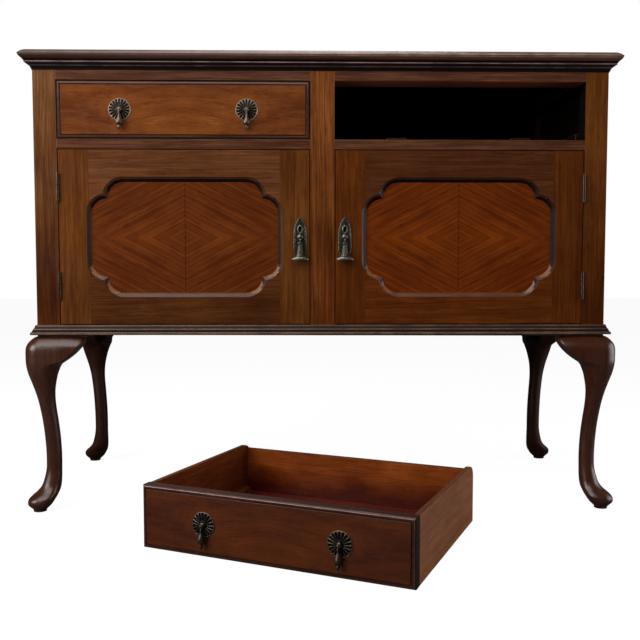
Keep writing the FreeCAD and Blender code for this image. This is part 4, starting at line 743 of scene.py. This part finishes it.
# From the edge of the front inwards and how far it stands out, in mm
FRONT_EDGE = ((0.02, -0.5), (0.02, 0.2), (0.3, 0.9), (2.1, 2.6), (3.2, 3.2), (5.0, 3.4), (6.4, 3.4),
              (6.7, 3.0), (6.8, 2.1), (7.6, 2.1), (7.7, 3.2), (8.0, 3.8), (8.4, 4.0))
QUIRK_START, QUIRK_END = 6, 10
# How far out the thumbnail's round starts, grows light as painted highlight and ends
ROUND_LOW, ROUND_LIGHT, ROUND_HIGH = 0.0009, 0.0023, 0.0031


def moulded_front(drawer, place, *materials):
    """Front board with a thumbnail moulding planted round its veneered field."""
    work = bare_copy(f"{drawer}_front")
    work.transform(place.inverted())
    cut(work, (0, 0.0001, 0), (0, -1, 0), clear_outer=True)
    rubbed, dark = marks(work)
    rings = []
    for inset, rise in FRONT_EDGE:
        near, far, top = inset / 1000, DRAWER_WIDTH - inset / 1000, DRAWER_HEIGHT - inset / 1000
        corners = ((near, near), (far, near), (far, top), (near, top))
        rings.append([(x, -rise / 1000, z) for x, z in corners])
    made = joined(work, rings)
    made[-1].material_index = 1
    bmesh.ops.recalc_face_normals(work, faces=work.faces)
    for face in work.faces:
        out = -face.calc_center_median().y
        edge = face.material_index == 0
        # Painted highlight on the round's outer band; edge faces that don't face up are painted dark as
        # shade.
        if edge and ROUND_LOW < out < ROUND_HIGH:
            face[rubbed], face[dark] = (0.9, 0.0) if out > ROUND_LIGHT else (0.2, 0.35)
        if edge and face.normal.z < 0.3 and face.normal.y > -0.97:
            face[dark] = 0.65
    # Painted shade in the quirk round the field.
    for face in made[4 * QUIRK_START:4 * QUIRK_END]:
        face[dark] = 0.7
    work.transform(place)
    finished(work, f"{drawer}_front", drawer, "front_wood", *materials, sharp=38)


def book_matched(bench, along, turn, centre):
    """Place in a front veneered with two mirrored leaves that meet in the middle."""
    spin = Matrix.Rotation(-turn, 4, "Z")
    middle = (spin @ Vector(centre)) + Vector((DRAWER_WIDTH / 2, 0, 0))
    return mirrored(bench, bench.moved(bench.here(), spin.to_euler(), -middle), math.radians(-2))


def drawer_faces_in(place):
    """Second finish where the sides look into the drawer."""
    def test(centre, normal):
        across = place.inverted() @ centre
        facing = place.inverted().to_3x3() @ normal
        return int(facing.x > 0.5 if across.x < DRAWER_WIDTH / 2 else facing.x < -0.5)
    return test


def darkened_upper_faces(centre, normal):
    """The upward faces of a drawer's sides and back are darkened and their polish dulled."""
    return 0.0, 0.6 if normal.z > 0.3 else 0.0


# The loose drawer's tones are darker as painted shade, since it stands low and turned from the light, and
# its pale rub colour is painted highlight.
DRAWER_TONES = {"left": ((108, 55, 23), (70, 42, 32), (120, 82, 66)),
                "right": ((78, 31, 3), (56, 26, 16), (186, 144, 124))}
for side, place in DRAWER_PLACES.items():
    drawer, corner = f"{side}_drawer", place.translation
    laid = {"turn": 0.0 if side == "left" else LOOSE_TURN, "centre": corner}
    field_tone, edge_tone, rub_and_highlight_tone = DRAWER_TONES[side]
    field_veneer = timber(f"{side} drawer veneer", field_tone, band_width=0.016, contrast=0.4, streaks=0.42,
                          clouds=0.8, waviness=3.4, place_of=book_matched, **laid)
    edge_timber = timber(f"{side} drawer edge timber", edge_tone, contrast=0.3, roughness=0.16,
                         rubbed=rub_and_highlight_tone, rubbing=0.8, polish=0.3, **laid)
    side_timber = timber(f"{side} drawer side timber", (146, 84, 44), along="y", contrast=0.3,
                         roughness=0.35, **laid)
    inner_timber = timber(f"{side} drawer inner side timber", (108, 48, 20), along="y", band_width=0.03,
                          contrast=0.45, roughness=0.24, polish=0.25, **laid)
    # Painted shade: each back board darkens to a purplish brown towards its foot.
    back_board = timber(f"{side} drawer back timber", (122, 56, 20), band_width=0.03, clouds=0.6,
                        roughness=0.22, polish=0.25,
                        shading_by_height=(corner.z + 0.02, corner.z + 0.09, (0.28, 0.12, 0.2, 1)), **laid)
    bottom_board = timber(f"{side} drawer bottom timber", (84, 22, 10), band_width=0.03, contrast=0.4,
                          clouds=0.5, roughness=0.5, polish=0.2, **laid)
    moulded_front(drawer, place, edge_timber, field_veneer)
    softened(f"{drawer}_sides", drawer, "drawer_wood", side_timber, inner_timber,
             which=drawer_faces_in(place), wear_and_shading=darkened_upper_faces)
    softened(f"{drawer}_back", drawer, "drawer_wood", back_board, wear_and_shading=darkened_upper_faces)
    softened(f"{drawer}_bottom", drawer, "drawer_wood", bottom_board, arris=0.0)
    softened(f"{drawer}_slips", drawer, "drawer_wood", inner_timber, arris=0.0)

# DRAWER HANDLES
# Cast brass rosettes with a dark brown patina, pinned through the fronts,
# each with a pear drop that hangs from a small pin between two ears.


def patina(name, body, dark, bright, roughness=0.3):
    """Cast metal dulled by age: dark in the hollows, bright on the high parts."""
    material = bpy.data.materials.new(name)
    bench = blank(material)
    body, dark, bright = srgb(*body), srgb(*dark), srgb(*bright)
    cloud = bench.spread(bench.noise(bench.here(), 160.0, 4.0, 0.6), 0.38, 0.70)
    speck = bench.spread(bench.noise(bench.here(), 900.0, 3.0, 0.6), 0.42, 0.7)
    mixed = bench.blend(bench.times(cloud, 0.7), body, dark)
    rub = bench.times(bench.mark("arris"), bench.maths("ADD", speck, 0.35), clamp=True)
    mixed = bench.blend(rub, mixed, bright)
    mixed = bench.blend(bench.times(bench.mark("hollow"), 0.92), mixed, dark)
    rough = bench.maths("ADD", bench.times(speck, 0.2), roughness)
    bump = bench.add("ShaderNodeBump", Strength=0.35, Distance=0.0002, Height=speck)
    shader = bench.add("ShaderNodeBsdfPrincipled", Base_Color=mixed, Roughness=rough,
                       Normal=bump, Metallic=0.8)
    bench.add("ShaderNodeOutputMaterial", Surface=shader)
    return material


def round_about(count):
    """Cosine and sine of even steps round a circle."""
    turns = [math.tau * step / count for step in range(count)]
    return [(math.cos(turn), math.sin(turn)) for turn in turns]


def turned(work, profile, place, count, taller=1.0, looped=False):
    """Faces turned about the local Y axis from radius and stand-out pairs, in mm, put in their place."""
    return joined(work, [[place @ (Vector((radius * cosine, -out, radius * taller * sine)) / 1000)
                          for cosine, sine in round_about(count)] for radius, out in profile], looped)


def coated_copies(bench, given, way_out, **what):
    """Copies of a shape on points, made real and given their material, as what the tree gives out."""
    copies = bench.add("GeometryNodeInstanceOnPoints", **what)
    real = bench.add("GeometryNodeRealizeInstances", Geometry=copies)
    coated = bench.add("GeometryNodeSetMaterial", Geometry=real, Material=given("Material"))
    bench.put(way_out, "Geometry", coated)
    return bench.tree


def petal_ring():
    """Copies of one petal turned evenly about the Y axis."""
    bench, given, way_out = group("Petal ring", {
        "Geometry": ["Geometry"], "Int": ["Petals"], "Material": ["Material"]},
        {"Geometry": ["Geometry"]}, "GeometryNodeTree")
    points = bench.add("GeometryNodePoints", Count=given("Petals"))
    each = bench.maths("DIVIDE", math.tau, given("Petals"))
    angle = bench.times(bench.add("GeometryNodeInputIndex"), each)
    angles = bench.add("ShaderNodeCombineXYZ", Y=angle)
    turn = bench.add("FunctionNodeEulerToRotation", Euler=angles)
    return coated_copies(bench, given, way_out, Points=points, Instance=given("Geometry"), Rotation=turn)


def bead_run():
    """Small round beads set along a line at even steps."""
    bench, given, way_out = group("Bead run", {
        "Geometry": ["Geometry"], "Int": ["Beads"], "Float": ["Bead radius"], "Material": ["Material"]},
        {"Geometry": ["Geometry"]}, "GeometryNodeTree")
    steps = bench.add("GeometryNodeResampleCurve", mode="COUNT", Curve=given("Geometry"),
                      Count=given("Beads"))
    bead = bench.add("GeometryNodeMeshIcoSphere", Radius=given("Bead radius"), Subdivisions=2)
    return coated_copies(bench, given, way_out, Points=steps, Instance=bead)


def grown(source, tree, **values):
    """Plain mesh that a geometry tree makes from an object, which is then removed."""
    bpy.context.scene.collection.objects.link(source)
    maker = source.modifiers.new("maker", "NODES")
    maker.node_group = tree
    for item in tree.interface.items_tree:
        if item.in_out == "INPUT" and item.name in values:
            maker[item.identifier] = values[item.name]
    bpy.context.view_layer.update()
    graph = bpy.context.evaluated_depsgraph_get()
    mesh = bpy.data.meshes.new_from_object(source.evaluated_get(graph))
    source.modifiers.clear()
    bpy.data.objects.remove(source)
    return mesh


PETALS = 18
# Along the petal: distance from the middle, half width, foot and height of its ridge, in mm
PETAL_ROWS = ((7.4, 0.45, 2.4, 0.5), (9.5, 0.75, 2.2, 1.3), (13.0, 1.15, 1.7, 1.6), (16.5, 1.65, 1.3, 1.7),
              (19.0, 2.1, 1.1, 1.6), (20.8, 1.95, 1.0, 1.1), (21.6, 1.1, 0.9, 0.5))
# Across the petal: share of its half width, which is slimmed for a gap, and share of its height
PETAL_ARCH, PETAL_SLIM = ((-1, 0), (-0.72, 0.72), (0, 1), (0.72, 0.72), (1, 0)), 0.76
aged_brass = patina("aged brass", (62, 51, 41), (10, 7, 6), (176, 156, 132))
# Painted shade: the loose drawer's brass is a darker copy, as it stands low in less light.
shaded_brass = patina("brass painted darker as shade", (46, 38, 30), (8, 6, 5), (122, 106, 88))
DRAWER_BRASS = {"left": aged_brass, "right": shaded_brass}
petal = bmesh.new()
petal_rows = []
for along, wide, foot, height in PETAL_ROWS:
    petal_rows.append([petal.verts.new((along / 1000, -(foot + height * lift) / 1000,
                                        wide * PETAL_SLIM * across / 1000)) for across, lift in PETAL_ARCH])
for low, high in zip(petal_rows, petal_rows[1:]):
    for number in range(len(PETAL_ARCH) - 1):
        petal.faces.new((low[number], low[number + 1], high[number + 1], high[number]))
for row in (petal_rows[0], petal_rows[-1]):
    petal.faces.new(row)
petal.faces.new([row[0] for row in petal_rows] + [row[-1] for row in reversed(petal_rows)])
bmesh.ops.recalc_face_normals(petal, faces=petal.faces)
petal_mesh = bpy.data.meshes.new("petal")
petal.to_mesh(petal_mesh)
petal.free()
petals = grown(bpy.data.objects.new("petal", petal_mesh), petal_ring(), Petals=PETALS, Material=aged_brass)

# Radius and stand-out from the drawer's face, and for the drop its depth below the pin, in mm
ROSETTE_PLATE = ((22.0, 0.0), (22.5, 0.3), (22.5, 0.9), (22.1, 1.5), (21.5, 1.7), (20.9, 1.4), (20.6, 0.8),
                 (15.0, 1.0), (8.0, 1.9), (7.2, 2.4))
ROSETTE_HUB = ((7.4, 1.6), (7.6, 2.4), (7.2, 2.9), (6.0, 3.0), (5.0, 3.2), (4.7, 4.4), (4.6, 5.2),
               (3.8, 6.1), (2.4, 6.6), (0.4, 6.8))
DROP_PROFILE = ((0.8, 1.9), (1.5, 2.6), (1.6, 5.4), (2.3, 6.2), (2.5, 7.0), (2.1, 7.8),
                (1.7, 8.8), (1.8, 11.0), (2.5, 13.4), (3.7, 16.0), (5.0, 18.8), (6.1, 21.8),
                (6.7, 24.8), (6.7, 27.0), (6.1, 28.8), (4.6, 30.4), (3.0, 31.4), (2.4, 32.2),
                (3.0, 33.4), (3.4, 35.0), (3.1, 36.6), (2.2, 38.4), (1.2, 40.2), (0.4, 41.0))


def shaded(work, made, rubbed_amount, dark_amount=0.0):
    """Mark how bright and how dark with patina new faces are, both from 0 to 1."""
    rubbed, dark = marks(work)
    for face in made:
        face[rubbed], face[dark] = rubbed_amount, dark_amount


def added(work, mesh):
    """The faces that a plain mesh brings into a casting."""
    before = len(work.faces)
    work.from_mesh(mesh)
    work.faces.ensure_lookup_table()
    return work.faces[before:]


def casting():
    """Empty mesh with its marks, which have to be there before faces are held."""
    work = bmesh.new()
    marks(work)
    return work


def cast(work, node, body, brass):
    """A casting as a piece of the scene."""
    finished(work, node, body, "aged_brass", brass, sharp=50, done="cast")


def middle_in(place, face):
    """Middle of a face as seen from a place on the piece."""
    return place.inverted() @ face.calc_center_median()


def small_box(work, low, high, place):
    """Little square-edged block, for an ear or a link, between two corners in mm."""
    corners = [work.verts.new(place @ (Vector((x, y, z)) / 1000)) for x in (low[0], high[0])
               for y in (low[1], high[1]) for z in (low[2], high[2])]
    return [work.faces.new([corners[number] for number in side]) for side in (
        (0, 1, 3, 2), (4, 6, 7, 5), (0, 4, 5, 1), (2, 3, 7, 6), (0, 2, 6, 4), (1, 5, 7, 3))]


HANDLE_PLACES = (0.126, DRAWER_WIDTH - 0.126)
FACE_OUT, PIN_OUT, DROP_PIN_OUT = 0.004, 0.0084, 0.0124
FIELD_INNER, FIELD_OUTER, KNOB_OUT = 0.0074, 0.0205, 0.0043
EARS, PIN_ENDS = ((-3.2, -1.6), (1.6, 3.2)), ((1.0, -3.4), (1.0, 3.4))
DROP_EYE = ((1.1, -1.2), (2.1, -1.2), (2.5, -0.7), (2.5, 0.7), (2.1, 1.2), (1.1, 1.2))
for side, place in DRAWER_PLACES.items():
    drawer, brass = f"{side}_drawer", DRAWER_BRASS[side]
    work = casting()
    for across in HANDLE_PLACES:
        spot = place @ Matrix.Translation((across, -FACE_OUT, DRAWER_HEIGHT / 2))
        plate = turned(work, ROSETTE_PLATE, spot, 54)
        shaded(work, plate, 0.9)
        flat = [face for face in plate if FIELD_INNER < middle_in(spot, face).xz.length < FIELD_OUTER]
        shaded(work, flat, 0.0, 1.0)
        fresh = added(work, petals)
        fresh_verts = {vertex for face in fresh for vertex in face.verts}
        bmesh.ops.transform(work, matrix=spot, verts=list(fresh_verts))
        shaded(work, fresh, 0.45)
        hub = turned(work, ROSETTE_HUB, spot, 32)
        shaded(work, hub, 0.0, 0.8)
        shaded(work, [face for face in hub if middle_in(spot, face).y < -KNOB_OUT], 0.5)
        for low, high in EARS:
            shaded(work, small_box(work, (low, -9.6, -2.6), (high, -2.8, 2.6), spot), 0.5)
        pin = spot @ Matrix.Translation((0, -PIN_OUT, 0)) @ Matrix.Rotation(QUARTER, 4, "Z")
        shaded(work, turned(work, PIN_ENDS, pin, 14), 0.5)
    cast(work, f"{drawer}_rosettes", drawer, brass)
    for number, across in enumerate(HANDLE_PLACES, 1):
        work = casting()
        pivot = place @ Matrix.Translation((across, -DROP_PIN_OUT, DRAWER_HEIGHT / 2))
        hang = pivot @ Matrix.Rotation(-QUARTER, 4, "X")
        shaded(work, turned(work, [(radius, -down) for radius, down in DROP_PROFILE], hang, 28), 0.3)
        shaded(work, turned(work, DROP_EYE, pivot @ Matrix.Rotation(QUARTER, 4, "Z"), 24), 0.6)
        cast(work, f"{drawer}_drop_{number}", f"{drawer}_pull_{number}", brass)

# DOOR HANDLES
# Pointed brass backplates with beaded rims and a keyhole, each with a fluted,
# flared drop on an oval foot that swings from a pin.

PLATE_OUTLINE = ((0, 47), (3.6, 43.5), (7.2, 37.6), (9.6, 31), (11.7, 23.5), (12.8, 13), (13, 4), (13, -10),
                 (12.7, -18.7), (11.6, -24.5), (9.1, -28.9), (6.0, -32.2), (3.25, -34))
# Down from the pin, half width, half depth and how deep the flutes are, in mm
HANDLE_DROP = ((3.4, 2.6, 2.0, 0.0), (5.0, 5.4, 3.0, 0.0), (6.6, 5.8, 3.2, 0.0),
               (7.6, 4.8, 2.9, 0.0), (8.6, 4.0, 2.7, 0.05), (11.5, 4.0, 2.9, 0.12),
               (16, 4.3, 3.3, 0.14), (20, 4.8, 3.8, 0.14), (24.5, 5.6, 4.4, 0.14),
               (28.5, 7.0, 5.0, 0.10), (31.5, 9.6, 5.6, 0.05), (32.8, 11.6, 6.0, 0.0),
               (33.6, 11.8, 6.0, 0.0), (34.3, 11.0, 5.6, 0.0), (35.2, 13.4, 5.9, 0.0),
               (36.6, 16.6, 6.3, 0.0), (37.8, 17.7, 6.5, 0.0), (39.2, 17.8, 6.5, 0.0),
               (40.2, 16.8, 6.0, 0.0))
# Half width of the collar round the keyhole and how far it stands out, in mm
KEY_COLLAR = ((1.9, 2.0), (2.0, 2.2), (3.4, 2.3), (3.7, 2.9), (4.5, 3.1), (5.4, 2.8), (5.8, 2.0))
PIN_BOSS = ((6.4, 1.9), (6.3, 3.2), (5.4, 4.8), (3.6, 6.0), (0.3, 6.5))
HANDLE_EYE = ((1.1, -1.2), (2.2, -1.2), (2.5, -0.8), (2.5, 0.8), (2.2, 1.2), (1.1, 1.2))
# How far in from the outline a raised border runs, its radius, its stand-out and how rubbed it is
BORDERS = ((0.7, 0.75, 2.1, 0.55), (4.4, 0.55, 2.0, 0.2))
BEADS_IN, BEADS_OUT, BEAD_RADIUS, BEAD_COUNT = 2.6, 2.1, 0.0008, 64
HANDLE_ACROSS, HANDLE_UP, COLLAR_UP, BOSS_UP = 0.0455, 0.555, 0.0215, 0.0068
POINTED_ENDS, POINT_STRETCH, PLATE_MIDDLE, FLUTES = 30, 1.25, Vector((0, 0, 6)), 12
WELL_HALF_WIDTH, WELL_HALF_HEIGHT, DROP_OUT, FOOT_DOWN = 0.0028, 0.0050, 0.0095, 0.0347

plate_half = [Vector((x, 0, z)) for x, z in PLATE_OUTLINE]
plate_loop = plate_half + [Vector((-spot.x, 0, spot.z)) for spot in reversed(plate_half[1:])]


def inset(amount):
    """Outline of a backplate drawn in towards its middle, a little more at its pointed ends."""
    inwards = [(PLATE_MIDDLE - spot).normalized() * amount for spot in plate_loop]
    return [spot + way * (POINT_STRETCH if abs(spot.z) > POINTED_ENDS else 1.0)
            for spot, way in zip(plate_loop, inwards)]


def border_rings(amount, radius, stand, pivot):
    """Rings of points round a raised border, in its place on the plate."""
    line, rings = inset(amount), []
    for number, spot in enumerate(line):
        run = (line[(number + 1) % len(line)] - line[number - 1]).normalized()
        out = Vector((run.z, 0, -run.x))
        rings.append([pivot @ ((spot + out * radius * cosine
                                + Vector((0, -stand - radius * 0.8 * sine, 0))) / 1000)
                      for cosine, sine in round_about(8)])
    return rings


def bead_line(pivot):
    """Closed line that the beads of a backplate stand on."""
    held = bpy.data.curves.new("bead line", "CURVE")
    held.dimensions = "3D"
    spline = held.splines.new("POLY")
    line = inset(BEADS_IN)
    spline.points.add(len(line) - 1)
    for point, spot in zip(spline.points, line):
        point.co = (*(pivot @ ((spot + Vector((0, -BEADS_OUT, 0))) / 1000)), 1)
    spline.use_cyclic_u = True
    return bpy.data.objects.new("bead line", held)


def fluted(hang):
    """Rings of points down the flared drop, its waist fluted."""
    rings = []
    for down, wide, deep, flute in HANDLE_DROP:
        ring = []
        for turn in [math.tau * step / 48 for step in range(48)]:
            ripple = 1 - flute * (0.5 + 0.5 * math.cos(FLUTES * turn))
            spot = Vector((wide * ripple * math.cos(turn), deep * ripple * math.sin(turn), -down))
            ring.append(hang @ (spot / 1000))
        rings.append(ring)
    return rings


handle_brass = patina("handle brass", (36, 35, 29), (7, 7, 6), (164, 158, 140), 0.24)
beads_tree = bead_run()
for side, sign in (("left", -1), ("right", 1)):
    pivot = Matrix.Translation((sign * HANDLE_ACROSS, FRONT, HANDLE_UP))
    work = bare_copy(f"{side}_handle_plate")
    shaded(work, work.faces, 0.17)
    for amount, radius, stand, bright in BORDERS:
        shaded(work, joined(work, border_rings(amount, radius, stand, pivot), looped=True), bright, 0.0)
    beads = grown(bead_line(pivot), beads_tree,
                  **{"Beads": BEAD_COUNT, "Bead radius": BEAD_RADIUS, "Material": handle_brass})
    shaded(work, added(work, beads), 0.3, 0.2)
    collar = pivot @ Matrix.Translation((0, 0, COLLAR_UP))
    made = turned(work, KEY_COLLAR, collar, 28, taller=1.6, looped=True)
    shaded(work, made, 0.5)
    well = [face for face in made if abs(middle_in(collar, face).x) < WELL_HALF_WIDTH
            and abs(middle_in(collar, face).z) < WELL_HALF_HEIGHT]
    shaded(work, well, 0.0, 1.0)
    shaded(work, turned(work, PIN_BOSS, pivot @ Matrix.Translation((0, 0, BOSS_UP)), 32), 0.4)
    cast(work, f"{side}_handle_plate", f"{side}_door", handle_brass)
    work = casting()
    hang = pivot @ Matrix.Translation((0, -DROP_OUT, 0))
    made = joined(work, fluted(hang))
    shaded(work, made, 0.2)
    shaded(work, [face for face in made if middle_in(hang, face).z < -FOOT_DOWN], 0.7)
    shaded(work, turned(work, HANDLE_EYE, hang @ Matrix.Rotation(QUARTER, 4, "Z"), 24), 0.8)
    shaded(work, small_box(work, (-1.2, -1.2, -4.2), (1.2, 1.2, -2.0), hang), 0.6)
    cast(work, f"{side}_handle_drop", f"{side}_handle", handle_brass)

# HINGES, LOCKS AND SCREWS
# Brass butt hinges let into the posts and doors, steel cut locks with their
# bolts, and the steel screws that hold the back.

hinge_brass = patina("hinge brass", (66, 48, 36), (18, 12, 9), (150, 132, 104), 0.22)
dull_steel = patina("dull steel", (96, 93, 88), (36, 32, 28), (150, 146, 138), 0.45)
for node in ("hinge_post_leaves", "hinge_pins"):
    softened(node, "carcass", "aged_brass", hinge_brass, arris=0.0)
softened("back_screws", "carcass", "steel", dull_steel, arris=0.0)
for side in ("left", "right"):
    softened(f"{side}_hinge_leaves", f"{side}_door", "aged_brass", hinge_brass, arris=0.0)
    softened(f"{side}_lock_case", f"{side}_door", "steel", dull_steel, arris=0.0)
    softened(f"{side}_lock_bolt", f"{side}_bolt", "steel", dull_steel, arris=0.0)

# STUDIO
# A pale floor that fades into a white surround, four large soft lights of which
# the left one is strongest, and the camera where the photograph was taken.

FLOOR_HALF, FLOOR_LEVEL = 12, -0.0015
floor_mesh = bpy.data.meshes.new("studio_floor")
floor_mesh.from_pydata([(x * FLOOR_HALF, y * FLOOR_HALF, FLOOR_LEVEL)
                        for x, y in ((-1, -1), (1, -1), (1, 1), (-1, 1))], [], [(0, 1, 2, 3)])
floor = bpy.data.objects.new("studio_floor", floor_mesh)
bpy.context.scene.collection.objects.link(floor)
pale = bpy.data.materials.new("pale floor")
bench = blank(pale)
on_camera = bench.out(bench.add("ShaderNodeLightPath"), "Is Camera Ray")
seen = bench.add("ShaderNodeEmission", Color=(1, 1, 1, 1), Strength=bench.times(on_camera, 0.95))
plain = bench.add("ShaderNodeBsdfDiffuse", Color=(0.11, 0.11, 0.11, 1))
both = bench.numbered(bench.add("ShaderNodeAddShader"), {0: plain, 1: seen})
bench.add("ShaderNodeOutputMaterial", Surface=both)
floor_mesh.materials.append(pale)

world = bpy.data.worlds.new("white surround")
bpy.context.scene.world = world
bench = blank(world)
on_camera = bench.out(bench.add("ShaderNodeLightPath"), "Is Camera Ray")
deep = bench.parts(bench.out(bench.add("ShaderNodeTexCoord"), "Generated"))["Y"]
level = bench.numbered(bench.add("ShaderNodeMix", data_type="FLOAT"),
                       {0: on_camera, 2: bench.spread(deep, 0.5, 0.98, 0.03, 0.12), 3: 1.0})
surround = bench.add("ShaderNodeBackground", Color=(1, 1, 1, 1), Strength=level)
bench.add("ShaderNodeOutputWorld", Surface=surround)


def lamp(name, place, aim, wide, high, power):
    """Soft rectangular light that faces a point."""
    light = bpy.data.lights.new(name, "AREA")
    light.shape, light.size, light.size_y, light.energy = "RECTANGLE", wide, high, power
    shade = bpy.data.objects.new(name, light)
    bpy.context.scene.collection.objects.link(shade)
    shade.location = place
    shade.rotation_euler = (Vector(aim) - Vector(place)).to_track_quat("-Z", "Y").to_euler()


lamp("left softbox", (-1.9, -1.25, 1.15), (-0.1, 0.0, 0.6), 1.3, 1.3, 44)
lamp("front softbox", (-0.6, -1.1, 2.0), (-0.1, 0.0, 0.5), 1.9, 1.2, 30)
lamp("overhead softbox", (-0.3, 0.35, 2.3), (0.0, 0.0, 0.9), 2.0, 0.6, 16)
lamp("right softbox", (2.3, -0.3, 0.6), (0.1, -0.2, 0.3), 1.9, 1.6, 34)

SENSOR, FOCAL_PIXELS, PICTURE_PIXELS = 36, 824.2, 640
CAMERA_PLACE, YAW, PITCH = (-0.0403, -1.7029, 0.4982), math.radians(1.2), math.radians(3.59)
camera_data = bpy.data.cameras.new("camera")
camera_data.sensor_fit = "HORIZONTAL"
camera_data.sensor_width = SENSOR
camera_data.lens = FOCAL_PIXELS / PICTURE_PIXELS * SENSOR
camera = bpy.data.objects.new("camera", camera_data)
bpy.context.scene.collection.objects.link(camera)
camera.location = CAMERA_PLACE
facing = Vector((math.sin(YAW) * math.cos(PITCH), math.cos(YAW) * math.cos(PITCH), -math.sin(PITCH)))
camera.rotation_euler = facing.to_track_quat("-Z", "Y").to_euler()
bpy.context.scene.camera = camera
bpy.context.scene.view_settings.view_transform = "Standard"
